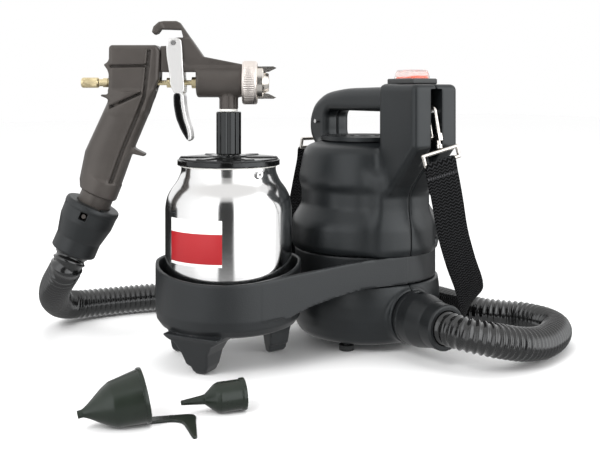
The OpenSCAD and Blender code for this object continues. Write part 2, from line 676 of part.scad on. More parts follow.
module strap() color([0.07, 0.07, 0.07]) at_unit() {
    n = (len(strap_route) - 1) * strap_steps;
    P = [for (i = [0:n]) curve(strap_points, i / strap_steps)];
    T = directions(P);
    pts = [for (i = [0:n]) let (w0 = curve(strap_sides, i / strap_steps), w = unit(w0 - (w0 * T[i]) * T[i]),
        u = cross(T[i], w)) each [for (c = [[1, 1], [-1, 1], [-1, -1], [1, -1]])
        P[i] + c[0] * strap_w / 2 * w + c[1] * strap_t / 2 * u]];
    echo(strap_length = total([for (i = [1:n]) norm(P[i] - P[i - 1])]));
    polyhedron(pts, concat([[0, 1, 2], [0, 2, 3]], [for (i = [0:n - 1]) each band_faces(4 * i, 4 * i + 4, 4)],
        [[4 * n + 2, 4 * n + 1, 4 * n], [4 * n + 3, 4 * n + 2, 4 * n]]));
}

// Buckle that the webbing threads through
module strap_adjuster() color([0.1, 0.1, 0.1]) at_unit() translate([88.1, 35.2, 15.5]) rotate([0, 0, 18.3])
    rotate([90, 0, 90]) translate([0, 0, -2.7]) difference() {
        translate([-10, -15, 0]) cube([20, 30.4, 5.4]);
        for (x = [-8, 2]) translate([x, -13.8, -1]) cube([6, 27.9, 8]);
        translate([-14, -13.8, 1.2]) cube([28, 27.9, 3]);
    }

// Rectangular wire loop in its own plane, hanging below its swivel: w wide, h high
module wire_loop(w, h) {
    for (z = [-wire_r, -h + wire_r]) translate([-w / 2 + wire_r, 0, z]) rotate([0, 90, 0])
        cylinder(r = wire_r, h = w - 2 * wire_r);
    for (x = [-w / 2 + wire_r, w / 2 - wire_r]) {
        translate([x, 0, -h + wire_r]) cylinder(r = wire_r, h = h - 2 * wire_r);
        for (z = [-wire_r, -h + wire_r]) translate([x, 0, z]) sphere(r = wire_r);
    }
}

hook_bow_r = 4.6;     // middle of the hook's wire round the cross pin
hook_l = 20;          // straight part of the hook
swivel_l = 8;         // shank between the hook's foot and the loop
front_lean = -14;     // lean of the front hook as the strap pulls it, in degrees
bow_z = hook_pin_r + gap + wire_r - hook_bow_r;   // bow's centre, from the pin

// Snap hook that hangs from a pin at the origin, with its eye in the YZ plane
module snap_hook() {
    translate([0, 0, bow_z]) {
        rotate([90, 0, 90]) rotate_extrude(angle = 180) translate([hook_bow_r, 0]) circle(r = wire_r);
        translate([0, hook_bow_r, -hook_l]) cylinder(r = wire_r - 0.1, h = hook_l + 0.8);
        translate([0, -hook_bow_r, -4]) cylinder(r = wire_r - 0.1, h = 4.8);
        translate([-2, 2.2, -hook_l - 5]) cube([4, hook_bow_r - 2.2 + wire_r, 6]);
        translate([0, hook_bow_r - 2, -hook_l - 5 - swivel_l + 4]) {
            cylinder(r = 1.8, h = swivel_l);
            translate([0, 0, -2.4]) cylinder(r = 2.7, h = 3.2);
        }
        // Fork that the gate turns in
        difference() {
            translate([-2, -hook_bow_r - wire_r, -hook_l - 5]) cube([4, 2 * hook_bow_r + 2 * wire_r, 4]);
            translate([-3, -hook_bow_r - wire_r - 1, -hook_l - 2.6]) cube([6, 5, 3]);
        }
    }
}
gate_z = bow_z - hook_l - 0.6;

// Gate of the hook: a bar that closes the eye and turns inwards at its foot
module hook_gate() {
    translate([0, -hook_bow_r, gate_z - 1.6]) {
        cylinder(r = wire_r - 0.3, h = hook_l - 4 - 0.8);
        translate([-2, 0, 1.4]) rotate([0, 90, 0]) cylinder(r = wire_r - 0.1, h = 4);
    }
}

module at_front_hook() at_unit() translate([0, -block_front + 7, hook_pin_z]) rotate([front_lean, 0, 0])
    mirror([0, 1, 0]) children();
rear_lean = 31;      // and of the rear hook
module at_rear_hook() at_unit() translate([0, handle_rear - 7, rear_pin_z]) rotate([rear_lean, 0, 0])
    mirror([0, 1, 0]) children();
swivel_z = bow_z - hook_l - 5 - swivel_l + 4;

module snap_hook_front() color(nickel) at_front_hook() snap_hook();
module snap_hook_rear() color(nickel) at_rear_hook() snap_hook();
module hook_gate_front() color(nickel) at_front_hook() hook_gate();
module hook_gate_rear() color(nickel) at_rear_hook() hook_gate();
loop_z = swivel_z - 2.4 - 2 * gap - wire_r;   // loop's top wire, from the pin
module strap_loop_front() color(nickel) at_front_hook() translate([0, hook_bow_r - 2, loop_z])
    rotate([front_lean, -11, 18]) translate([0, 0, wire_r]) wire_loop(strap_w + 8, 12);
module strap_loop_rear() color(nickel) at_rear_hook() translate([0, hook_bow_r - 2, loop_z])
    rotate([rear_lean - 14, 0, 0]) translate([0, 0, wire_r]) wire_loop(strap_w + 8, 12);

// ---- hose ----
// Middle of the hose from the blower's outlet to the gun, from the blower's axis
hose_route = [
    [0, -108, 33], [0, -121, 33], [5, -134, 31.5], [18, -144, 28.5], [34, -148, 24.5], [54, -149, 20],
    [81, -142, 15.5], [108, -130, 14.2], [130, -113, 14.2], [138, -91, 14.2], [134, -67, 14.2],
    [122, -50, 14.2],
    [113, -34, 14.2], [110, -12, 14.2], [112, 12, 14.2], [108, 46, 14.2], [92, 84, 14.2], [64, 116, 14.2],
    [28, 138, 14.2], [-12, 154, 14.2], [-54, 168, 14.2], [-98, 181, 14.2], [-142, 192, 14.2],
    [-182, 197, 14.2], [-213, 195.5, 15.5], [-229.7, 184.2, 20.7], [-241.6, 163.3, 30],
    [-252, 134.6, 42.5], [-259, 102.5, 58.5],
    [-260.6, 72.7, 76.8], [-254.8, 69.1, 92.4], [-249.6, 65.9, 106.6]];

module hose() color([0.1, 0.1, 0.1]) at_unit() {
    n = 2 * hose_ribs;
    fine = [for (i = [0:(len(hose_route) - 1) * 12]) curve(hose_route, i / 12)];
    s = lengths(fine);
    l = s[len(s) - 1];
    P = [for (i = [0:n]) at_length(fine, s, l * i / n)];
    T = directions(P);
    N = sides_of(T, [1, 0, 0]);
    inner = [for (i = [0:6:n]) i];
    outer_pts = [for (i = [0:n]) each loop_points(P[i], N[i], T[i], i % 2 == 1 ? hose_r : valley_r, 8)];
    inner_pts = [for (i = inner) each loop_points(P[i], N[i], T[i], hose_bore_r, 8)];
    m = len(outer_pts);
    k = len(inner) - 1;
    echo(hose_length = l, inner_rings = k + 1);
    polyhedron(concat(outer_pts, inner_pts), concat(
        [for (i = [0:n - 1]) each band_faces(8 * i, 8 * i + 8, 8)],
        [for (i = [0:k - 1]) each band_faces(m + 8 * i, m + 8 * i + 8, 8, true)],
        band_faces(m, 0, 8), band_faces(8 * n, m + 8 * k, 8)));
}
// The place at distance d along a fine path with running lengths s
function at_length(P, s, d, lo = 0, hi = undef) = let (h = hi == undef ? len(P) - 1 : hi)
    h - lo <= 1 ? P[lo] + (P[h] - P[lo]) * (d - s[lo]) / max(s[h] - s[lo], 1e-6)
    : let (m = floor((lo + h) / 2)) s[m] > d ? at_length(P, s, d, lo, m) : at_length(P, s, d, m, h);

// Connector with its mouth at z = 0 and its hose end at z = conn_l
module connector() difference() {
    union() {
        rotate_extrude() polygon([[spigot_r + 0.6, 0], [conn_r - 1, 0], [conn_r, 1], [conn_r - 0.6, 16],
            [conn_tail_r + 0.4, 30], [conn_tail_r, 31], [conn_tail_r, conn_l - 1], [conn_tail_r - 1, conn_l],
            [hose_r + 0.4, conn_l], [hose_r + 0.4, 28], [spigot_bore_r, 28], [spigot_bore_r, 24],
            [spigot_r + 0.6, 24]]);
    }
    // Bayonet slots: a way in from the mouth, and an arc that the pins turn along
    for (a = [0, 180]) rotate([0, 0, a - 90]) {
        rotate([0, 0, bayonet_twist]) translate([0, -bayonet_r - gap, -1])
            cube([conn_r - 1.8 + gap, 2 * bayonet_r + 2 * gap, 11]);
        translate([0, 0, 9 - bayonet_r - gap]) rotate([0, 0, -8])
            rotate_extrude(angle = bayonet_twist + 14) square([conn_r - 1.5 + gap, 2 * bayonet_r + 2 * gap]);
        translate([0, 0, 9]) rotate([0, 90, 0]) cylinder(r = bayonet_r + 2 * gap, h = conn_r + 2);
    }
}

module hose_connector_blower() color(shell_black) at_outlet() translate([0, 0, conn_start]) connector();
module hose_connector_gun() color(gun_black) at_gun() at_grip_end() translate([0, 0, conn_start]) connector();

// ---- spray gun ----
head_x0 = -100.5;
head_x1 = -57;
module bridge_outline() {
    difference() {
        polygon([[head_x1, 9], [head_x1, 30.8], [-52, 31], [-49, 37], [-42, 38.4], [-38.4, 38.2], [-40, 44.6],
            [-57, 45.2], [-59.5, 41.8], [-62.5, 40.6], [-64.8, 43], [-63.5, 47.5], [-59, 51.5], [-55, 52.3],
            [-44, 52.3], [-41, 50.8], [-21, 22], [barrel_x1, 15.6], [barrel_x1, 0], [barrel_x0, 0],
            [barrel_x0, 9]]);
    }
}
module bridge_solid() difference() {
    from_side(bridge_w) bridge_outline();
    // The hook above the bridge is thinner than the bridge
    for (s = [1, -1]) translate([-80, s > 0 ? 5.5 : -5.5 - 10, 38.6]) cube([80, 10, 30]);
}

module gun_body() color(gun_black) at_gun() difference() {
    union() {
        bridge_solid();
        translate([barrel_x0, 0, 0]) along_gun() cylinder(r = barrel_r, h = barrel_x1 - barrel_x0);
        translate([0, 0, 0]) along_gun() cylinder(r = nose_r, h = 19);
        // Stem boss over the suction tube
        translate([0, 0, stem_z + 2 - gun_z]) cylinder(r = 8, h = gun_z - stem_z - 2);
    }
    translate([-14, 0, 0]) along_gun() cylinder(r = 5, h = 60);
    translate([barrel_x0 - 1, 0, 0]) along_gun() cylinder(r = needle_r + 1, h = 30);
    translate([barrel_x0 - 1, 0, 0]) along_gun() cylinder(r = 3 + running, h = 7);
    translate([13, 0, 0]) along_gun() cylinder(r = 9 + running, h = 30);
    translate([0, 0, -30]) cylinder(r = tube_r + running, h = 24);
    translate([pivot.x, 0, pivot.y]) rotate([90, 0, 0])
        cylinder(r = trigger_pin_r + running, h = 60, center = true);
    // Air way through the bridge
    translate([head_x1 - 1, 0, 19]) along_gun() cylinder(r = 5, h = 50);
}
nose_r = 11.6;

// A slice of the handle: its middle along X and up, and half its depth
module slice(x, z, a, tilt = 0, w = grip_w) translate([x, 0, z]) rotate([0, tilt, 0])
    scale([a, w / 2, 1]) cylinder(r = 1, h = 0.6, $fn = 32);

module gun_handle() color(gun_black) at_gun() difference() {
    union() {
        // Head, with rounded corners
        from_side(grip_w - 3) soft(4) polygon([[head_x0, -8], [head_x0 + 0.5, 31.6], [head_x1 - 3, 31.6],
            [head_x1, 27], [head_x1 - 1, 2], [-61.7, -6], [-68, -15], [-70, -26], [-98, -26]]);
        hull() { slice(-81.5, -12, 19); slice(-88, -27.5, 19.6); }
        hull() { slice(-88, -27.5, 19.6); slice(-101.2, -57.4, 20.2); }
        hull() { slice(-101.2, -57.4, 20.2); slice(-107.8, -81, 18.4); }
        hull() {
            slice(-107.8, -81, 18.4);
            translate([grip_end.x, 0, grip_end.y]) rotate([0, grip_tilt, 0]) scale([15.8, 14, 1])
                cylinder(r = 1, h = 0.6, $fn = 32);
        }
        // Spurs behind the head and below the trigger
        from_side(grip_w - 7) polygon([[-99, 8], [-104.5, 15], [-99, 19]]);
        from_side(grip_w - 3) polygon([[-92, -22], [-97, -15], [-107, -10.6], [-99, -10], [-90, -8]]);
        from_side(12)
            polygon([[-90, -50], [-82, -54.5], [-70.5, -60.2], [-71.5, -62.4], [-82, -60], [-90, -63]]);
    }
    // Needle way and the spring's seat
    translate([head_x0 - 5, 0, 0]) along_gun() cylinder(r = 3.1 + running, h = 20);
    translate([head_x0 + 7, 0, 0]) along_gun() cylinder(r = spring_r + 0.6, h = 60);
    // Air way up the handle and into the bridge
    at_grip_end() translate([0, 0, -66]) cylinder(r = 9, h = 70);
    translate([-84, 0, 19]) along_gun() cylinder(r = 5, h = 40);
    translate([-84, 0, -32]) cylinder(r = 5, h = 55);
    translate([head_x1, -20, 32]) cube([20, 40, 20]);
}
spring_r = 4.4;

module gun_spigot() color(gun_black) at_gun() at_grip_end() translate([0, 0, 2 * running]) {
    spigot(31, 0);
}

module trigger() color(steel) at_gun() {
    for (s = [1, -1]) translate([0, s * (cheek_in + trigger_t / 2), 0]) from_side(trigger_t) difference() {
        trigger_cheek();
        translate(pivot) circle(r = trigger_pin_r + running);
    }
    difference() {
        from_side(2 * (cheek_in + trigger_t)) trigger_finger();
        translate([-48.9, -3, -20]) cube([20, 6, 19]);
    }
    from_side(2 * cheek_in + trigger_t) polygon([[-48.6, 3.2], [-48.6, 6.6], [-46.6, 6.6], [-46.6, 3.2]]);
}
module trigger_cheek() polygon([[-50, 36], [-48, 37.4], [-42, 37.4], [-39.2, 36], [-38.6, 30], [-37.2, 4],
    [-36.5, -2], [-37, -9], [-45, -9], [-48.6, -2], [-49, 6], [-51.5, 22], [-52, 30]]);
module trigger_finger() polygon([[-46, -8.6], [-37, -8.6], [-36.4, -19], [-34.4, -30], [-31, -40.3],
    [-30.2, -47], [-31.8, -49.7], [-34.6, -48.4], [-39.5, -40.3], [-43.8, -30], [-45.8, -19]]);

module trigger_pin() color(steel) at_gun() translate([pivot.x, 0, pivot.y]) rotate([90, 0, 0])
    cylinder(r = trigger_pin_r, h = 2 * (cheek_in + trigger_t) + 2, center = true);

needle_rear = -97;
module needle() color(brass) at_gun() along_gun() {
    translate([0, 0, needle_rear]) cylinder(r = needle_r, h = 28 - needle_rear);
    translate([0, 0, 28 - eps]) cylinder(r1 = needle_r, r2 = 0.8, h = 4);
    translate([0, 0, 32 - 2 * eps]) cylinder(r = 0.8, h = 1.5);
    translate([0, 0, -52.4]) cylinder(r = 4.2, h = 3.5);
    translate([0, 0, -67]) cylinder(r = spring_r, h = 2);
}
module needle_spring() color(steel) at_gun() translate([-81, 0, 0]) along_gun()
    ring(spring_r - 0.2, needle_r + 0.4, 14 - running);

module needle_guide() color(brass) at_gun() along_gun() translate([0, 0, -110]) difference() {
    union() {
        cylinder(r = 3.1, h = 110 + head_x0 + 6);
        translate([0, 0, 110 + head_x0 - 6]) cylinder(r = 3.9, h = 4);
    }
    translate([0, 0, -1]) cylinder(r = needle_r + 0.15, h = 60);
}

module packing_nut() color(brass) at_gun() translate([barrel_x0 - 4.3, 0, 0]) along_gun() difference() {
    union() {
        cylinder(r = 4.8, h = 4, $fn = 6);
        cylinder(r = 3, h = 9);
    }
    translate([0, 0, -1]) cylinder(r = needle_r + 0.1, h = 20);
}

module flow_knob() color(brass) at_gun() translate([-125, 0, 0]) along_gun() {
    cylinder(r = knob_r, h = 14.7);
    for (a = [0:30:330]) rotate([0, 0, a]) translate([knob_r - 0.3, -0.35, 1.5]) cube([0.7, 0.7, 11]);
    cylinder(r = needle_r - 0.1, h = 17);
}

module fluid_nozzle() color(brass) at_gun() along_gun() rotate_extrude() polygon([[needle_r + 0.6, 14.4],
    [9, 14.4], [9, 19], [6.5, 21.5], [4.4, 29], [2.9, 33.2], [2.9, 34], [1.3, 34], [1.3, 32.4],
    [needle_r + 0.6, 28.4]]);

module air_cap() color(nickel) at_gun() difference() {
    union() {
        along_gun() rotate_extrude() polygon([[9.8, 19.3], [air_cap_r + 1.1, 19.3], [air_cap_r + 1.1, 22],
            [air_cap_r, 22], [air_cap_r, 29], [9, 30.4], [7.6, 34], [3.5, 34], [3.5, 32.6], [6, 30],
            [7.5, 27.5],
            [9.8, 26]]);
        // Horns
        for (s = [1, -1]) scale([1, 1, s]) from_side(13) polygon([[24.5, 8], [24.5, 13.6], [38, 13.7],
            [40.5, 12.6], [34, 9.4], [28.5, 8.6]]);
    }
    for (s = [1, -1]) translate([36, 0, s * 10.6]) rotate([0, 90 + s * 45, 0])
        cylinder(r = 0.8, h = 12, center = true);
}

module cap_ring() color(nickel) at_gun() translate([barrel_x1 + gap, 0, 0]) along_gun() {
    rotate_extrude() polygon([[nose_r + 0.4, 0], [cap_ring_r - 1, 0], [cap_ring_r, 1], [cap_ring_r, 11.3],
        [cap_ring_r - 1.2, 12.5], [air_cap_r + gap, 12.5], [air_cap_r + gap, 10.6], [air_cap_r + 1.4, 10.6],
        [air_cap_r + 1.4, 4.6], [nose_r + 0.4, 4.6]]);
    for (a = [0:12:348]) rotate([0, 0, a]) translate([cap_ring_r - 0.6, -0.9, 1.5]) cube([0.9, 1.8, 9]);
}

// ---- stem, lid and cup ----
module stem_seal() color([0.9, 0.9, 0.88]) at_cup() translate([0, 0, stem_z])
    ring(7.6, tube_r + running, 2 - running);

module stem_nut() color(gun_black) at_cup() translate([0, 0, nut_z]) difference() {
    cylinder(r = nut_r, h = nut_l, $fn = 8);
    translate([0, 0, -1]) cylinder(r = tube_r + gap, h = nut_l + 2);
    for (a = [0:45:315]) rotate([0, 0, a]) translate([nut_r + 0.6, 0, 3]) cylinder(r = 2.2, h = nut_l - 6);
}

module cup_lid() color(gun_black) at_cup() difference() {
    union() {
        translate([0, 0, lid_z]) cylinder(r = lid_r, h = lid_t - 1.5);
        translate([0, 0, lid_z + lid_t - 1.5]) cylinder(r1 = lid_r, r2 = lid_r - 1.5, h = 1.5);
        translate([0, 0, lid_top - eps]) cylinder(r = 15, h = 2 + eps);
        for (a = [0, 60, 120]) rotate([0, 0, a + gun_yaw]) translate([-lid_r + 8, -4, lid_top - eps])
            cube([2 * lid_r - 16, 8, 1 + eps]);
        translate([0, 0, lid_z - 3.2]) cylinder(r = neck_r - cup_wall - 0.4, h = 3.2 + eps);
    }
    translate([0, 0, lid_z - 7]) cylinder(r = tube_r + running, h = 40);
    translate([0, 0, lid_z - 7]) cylinder(r = neck_r - cup_wall - 3, h = 7);
}

module lid_seal() color([0.9, 0.9, 0.88]) at_cup() translate([0, 0, neck_z + running])
    ring(neck_r + 1, neck_r - cup_wall, 1.2 - 2 * running);

module pickup_tube() color(steel) at_cup() translate([0, 0, cup_z + 6]) difference() {
    translate([0, 0, -2]) ring(tube_r, tube_r - tube_wall, gun_z - 12 - cup_z);
    rotate([25, 0, 0]) translate([-10, -10, -20]) cube(20);
}

// Cup profile, t in from its outer face
function cup_line(t) = [[0, cup_z + t], [cup_r - 4 - t / 2, cup_z + t], [cup_r - t, cup_z + 4 + t / 2],
    [cup_r - t, shoulder_z], [cup_r - 1.4 - t, shoulder_z + 8 - t / 2],
    [cup_r - 4.8 - t * 0.8, shoulder_z + 14.6 - t], [cup_r - 10 - t * 0.8, shoulder_z + 21.4 - t],
    [neck_r + 0.6 - t, neck_z - 5.8], [neck_r - t, neck_z - 3]];
module cup() color([0.82, 0.82, 0.82]) at_cup() difference() {
    rotate_extrude() polygon(concat(cup_line(0), [[neck_r, neck_z], [0, neck_z]]));
    rotate_extrude() polygon(concat(cup_line(cup_wall), [[neck_r - cup_wall, neck_z + 1], [0, neck_z + 1]]));
    at_vent() cylinder(r = 2, h = 12, center = true);
}
vent_angle = -80.5;
module at_vent() rotate([0, 0, vent_angle]) translate([neck_r - 0.2, 0, neck_z - 4.4]) rotate([0, 90, 0])
    children();

module cup_vent() color(steel) at_cup() at_vent() {
    translate([0, 0, -2]) ring(2 - running, 1.2, 4.6);
    translate([0, 0, 2.4]) ring(3, 1.2, 0.8);
}

// Plain plate wrapped round the cup
label_z = 88.6;
label_h = 37;
module cup_label() color([0.85, 0.12, 0.12]) at_cup() translate([0, 0, label_z]) rotate([0, 0, -176.5])
    rotate_extrude(angle = 54) translate([cup_r + 0.1, 0]) square([0.4, label_h]);

// ---- loose accessories ----
// Lying on the floor: tip at x, y, turned by yaw, with the open end raised by drop
module tilted(x, y, yaw, drop, z) at_unit() translate([x, y, z]) rotate([0, 0, yaw]) rotate([0, -drop, 0])
    children();

visc_tip_r = 2.7;
visc_wide = [visc_r - 3.6, 23.5];            // radius and place of the widest part of the cone
visc_tilt = atan((visc_r - visc_wide[0]) / (visc_l - 3 - visc_wide[1]));
visc_tip_z = (visc_wide[0] - visc_wide[1] * tan(visc_tilt)) * cos(visc_tilt);
module viscosity_cup() color(olive_black) {
    tilted(-300, -88, -11.5, visc_tilt, visc_tip_z) along_gun() rotate_extrude() polygon([[1.6, 0],
        [visc_tip_r, 0], [visc_tip_r, 3.5], [5, 7.5], [12.5, 18], visc_wide, [visc_r - 0.8, visc_l - 3],
        [visc_r, visc_l - 3], [visc_r, visc_l], [visc_r - 2, visc_l], [visc_r - 2.6, visc_l - 3],
        [visc_wide[0] - 1.6, 24], [11.4, 19.4], [3.6, 8], [1.6, 4]]);
    // Hooked handle, a strip that lies on the floor
    at_unit() linear_extrude(1.8) polygon([[-254, -91.5], [-248, -93.2], [-226.5, -100.8], [-222.2, -103.5],
        [-222, -108], [-225.2, -114.2], [-236.9, -141.8], [-239.7, -141], [-234.6, -115], [-235.6, -109.5],
        [-240, -105.8], [-256, -101.5]]);
}

blow_tip_r = 1.6;
blow_tilt = 2.3;
module blow_nozzle() color(olive_black) tilted(-230, -99.8, -13.7, blow_tilt, 9.6) along_gun() difference() {
    rotate_extrude() polygon([[0.9, 0], [blow_tip_r, 0], [3.2, 15], [3.6, 17], [blow_r - 2, 24],
        [blow_r - 0.8, 27], [blow_r - 0.8, blow_l - 3.5], [blow_r, blow_l - 3], [blow_r, blow_l],
        [blow_r - 2, blow_l], [blow_r - 2, 27.5], [2.2, 17.5], [0.9, 8]]);
    rotate([0, 0, 150]) translate([0, 0, blow_l - 8]) rotate([0, 90, 0]) cylinder(r = 1.2, h = 20);
}

housing_left();
housing_right();
intake_cover();
air_filter();
motor_frame();
bearing_bridge();
motor_stator();
motor_rotor();
bearing_top();
bearing_bottom();
carbon_brushes();
impeller();
fan_plate();
outlet_port();
cable_gland();
rubber_feet();
housing_screws();
hook_pins();
switch_bezel();
switch_body();
switch_rocker();
switch_boot();
cup_holder();
strap();
strap_adjuster();
strap_loop_front();
strap_loop_rear();
snap_hook_front();
snap_hook_rear();
hook_gate_front();
hook_gate_rear();
hose();
hose_connector_blower();
hose_connector_gun();
gun_body();
gun_handle();
gun_spigot();
trigger();
trigger_pin();
needle();
needle_spring();
needle_guide();
packing_nut();
flow_knob();
fluid_nozzle();
air_cap();
cap_ring();
stem_seal();
stem_nut();
cup_lid();
lid_seal();
pickup_tube();
cup();
cup_vent();
cup_label();
viscosity_cup();
blow_nozzle();
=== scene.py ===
# %% [markdown]
# # A turbine paint sprayer, dressed for a studio picture
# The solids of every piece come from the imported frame: a blower in a moulded housing, a cup holder, a ribbed
# air hose and a spray gun with its suction cup. This lesson puts smooth surfaces and real finishes on them.
# All shapes are worked out in millimetres with numpy, as whole arrays, and turned to metres at the end.

# %% Load the solids
import json
from functools import reduce

import bmesh
import bpy
import numpy as np
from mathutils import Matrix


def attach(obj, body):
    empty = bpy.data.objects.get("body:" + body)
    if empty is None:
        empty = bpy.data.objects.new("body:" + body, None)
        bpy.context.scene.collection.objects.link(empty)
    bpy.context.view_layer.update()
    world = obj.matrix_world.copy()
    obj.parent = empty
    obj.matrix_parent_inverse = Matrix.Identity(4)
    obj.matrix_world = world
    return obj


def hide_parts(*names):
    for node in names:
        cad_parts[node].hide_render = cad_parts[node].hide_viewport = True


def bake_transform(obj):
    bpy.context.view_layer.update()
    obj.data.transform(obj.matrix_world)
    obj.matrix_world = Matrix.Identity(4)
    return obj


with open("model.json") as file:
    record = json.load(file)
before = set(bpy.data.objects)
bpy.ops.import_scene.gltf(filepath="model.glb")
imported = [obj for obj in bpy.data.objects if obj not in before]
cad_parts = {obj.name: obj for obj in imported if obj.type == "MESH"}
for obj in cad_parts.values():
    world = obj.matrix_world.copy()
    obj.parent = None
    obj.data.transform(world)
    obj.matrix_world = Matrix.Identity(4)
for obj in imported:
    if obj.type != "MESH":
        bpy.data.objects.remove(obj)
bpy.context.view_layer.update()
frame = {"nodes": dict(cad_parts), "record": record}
nodes = frame["nodes"]
slot_of = {s["node"]: s["material_slot"] for s in frame["record"]["subparts"]}
scene = bpy.context.scene
print("solids:", len(nodes))

# %% [markdown]
# ## Places
# Five places are used again and again: the blower's axis, the cup's axis, the gun's axis, the lower end of the
# gun's handle and the blower's air outlet. Each is a 4 x 4 matrix that takes a point of that piece, in
# millimetres, to the whole object.

# %% Place matrices
MM = 0.001


def move(x, y, z):
    """Matrix of a shift by x, y, z."""
    m = np.eye(4)
    m[:3, 3] = x, y, z
    return m


def turn(axis, degrees):
    """Matrix of a turn about the x, y or z axis by the right-hand rule."""
    a, m = np.radians(degrees), np.eye(4)
    i, j = {"x": (1, 2), "y": (2, 0), "z": (0, 1)}[axis]
    m[i, i] = m[j, j] = np.cos(a)
    m[i, j], m[j, i] = -np.sin(a), np.sin(a)
    return m


GUN_YAW, GRIP_TILT = -31.5, 23.5  # degrees
REACH, GUN_Z, OUTLET_Z = 142.0, 235.4, 33  # from the blower's to the cup's axis, and two heights
GRIP_X, GRIP_Z = -111.2, -94.4  # the middle of the grip's end, from the gun's axis
PIN_X, PIN_Z = -45.8, 33.5  # the trigger's pin, from the gun's axis
BLOWER = move(103, 13, 0)
CUP = BLOWER @ move(-REACH, 0, 0)
GUN = CUP @ move(0, 0, GUN_Z) @ turn("z", GUN_YAW)
UPSIDE_DOWN = np.diag([1.0, 1.0, -1.0, 1.0])
GRIP_END = GUN @ move(GRIP_X, 0, GRIP_Z) @ turn("y", GRIP_TILT) @ UPSIDE_DOWN
OUTLET = BLOWER @ move(0, -62.5, OUTLET_Z) @ turn("x", 90)


def put(points, at):
    """Points in millimetres at a place, as points of the whole object in millimetres."""
    return np.asarray(points, float) @ at[:3, :3].T + at[:3, 3]


# %% [markdown]
# ## Camera
# The camera stands level, a little higher than the gun, and looks down only by a lens shift. Upright edges
# then stay upright in the picture, as product photographs have them.

# %% Camera
camera = bpy.data.objects.new("camera", bpy.data.cameras.new("camera"))
scene.collection.objects.link(camera)
camera.location = put([[-480.0, -667.5, 228.0]], BLOWER)[0] * MM
camera.rotation_euler = (np.radians(90), 0, np.radians(-31.5))
camera.data.lens = 52.62
camera.data.sensor_width = 36
camera.data.shift_y = -0.2227
camera.data.clip_start, camera.data.clip_end = 0.02, 60
scene.camera = camera
print("camera at", [round(c, 3) for c in camera.location])

# %% [markdown]
# ## Meshes from arrays
# A surface on a grid needs only its points: which points make each face follows from the grid. `piece` puts
# the arrays into a mesh, welds what coincides and turns the faces outwards.

# %% Faces and mesh pieces


def grid_faces(rows, cols, ring_rows=False, ring_cols=True):
    """Quads (i, j), (i, j+1), (i+1, j+1), (i+1, j) of a grid whose rows or columns may close on themselves."""
    i = np.arange(rows if ring_rows else rows - 1)[:, None]
    j = np.arange(cols if ring_cols else cols - 1)[None, :]
    i2, j2 = (i + 1) % rows, (j + 1) % cols
    corners = np.broadcast_arrays(i * cols + j, i * cols + j2, i2 * cols + j2, i2 * cols + j)
    return np.stack(corners, -1).reshape(-1, 4)


def piece(name, points, faces, material, body, stands_for, at=BLOWER, crease=38, weld=True, uv=None):
    """A mesh object from points (n, 3) in mm at a place and faces (m, 3 or 4)."""
    co = (put(points, at) * MM).astype(np.float32)
    faces = [np.asarray(f) for f in (faces if isinstance(faces, list) else [faces])]
    loops = np.concatenate([f.ravel() for f in faces]).astype(np.int32)
    sizes = np.concatenate([np.full(len(f), f.shape[1]) for f in faces])
    mesh = bpy.data.meshes.new(name)
    mesh.vertices.add(len(co))
    mesh.vertices.foreach_set("co", co.ravel())
    mesh.loops.add(len(loops))
    mesh.loops.foreach_set("vertex_index", loops)
    mesh.polygons.add(len(sizes))
    mesh.polygons.foreach_set("loop_start", np.concatenate([[0], np.cumsum(sizes)[:-1]]).astype(np.int32))
    mesh.update(calc_edges=True)
    if uv is not None:
        layer = mesh.uv_layers.new(name="length_and_width")
        layer.data.foreach_set("uv", np.asarray(uv, np.float32)[loops].ravel())
    if weld:
        b = bmesh.new()
        b.from_mesh(mesh)
        bmesh.ops.remove_doubles(b, verts=b.verts, dist=1e-6)
        bmesh.ops.recalc_face_normals(b, faces=b.faces)
        b.to_mesh(mesh)
        b.free()
    mesh.validate()
    mesh.shade_smooth()
    mesh.set_sharp_from_angle(angle=np.radians(crease))
    mesh.materials.append(material)
    obj = bpy.data.objects.new(name, mesh)
    scene.collection.objects.link(obj)
    if body:
        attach(obj, body)
    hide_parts(*stands_for)
    print(f"{name}: {len(mesh.polygons)} faces")
    return obj


# %% [markdown]
# ## Turned, swept and moulded surfaces
# Turned pieces are a profile carried round an axis. Wires and hoses are a ring carried along a path. Moulded
# pieces have soft corners where their forms meet, and neither way gives those. They are described by a field
# instead: a function that is negative inside, with forms joined by a minimum whose corner is rounded. The
# surface where the field is zero is found on a grid, and each of its points then slides onto the true zero.

# %% Profiles and sweeps


def unit(v):
    """v / |v|, along the last axis."""
    return v / np.linalg.norm(v, axis=-1, keepdims=True)


def lengths(path):
    """The length along a path up to each of its points."""
    return np.concatenate([[0], np.cumsum(np.linalg.norm(np.diff(path, axis=0), axis=1))])


def rounded(points, radius=1.0, steps=4, closed=True):
    """Each corner p becomes the curve (1-s)^2 (p+ta) + 2s(1-s) p + s^2 (p+tb), a and b along its two edges."""
    p = np.asarray(points, float)
    before, after = np.roll(p, 1, 0) - p, np.roll(p, -1, 0) - p
    la, lb = np.linalg.norm(before, axis=1), np.linalg.norm(after, axis=1)
    t = np.minimum(radius, 0.45 * np.minimum(la, lb))[:, None]
    if not closed:
        t[0] = t[-1] = 0
    a, b = p + before / la[:, None] * t, p + after / lb[:, None] * t
    s = np.linspace(0, 1, steps)[None, :, None]
    return ((1 - s) ** 2 * a[:, None] + 2 * s * (1 - s) * p[:, None] + s**2 * b[:, None]).reshape(-1, p.shape[1])


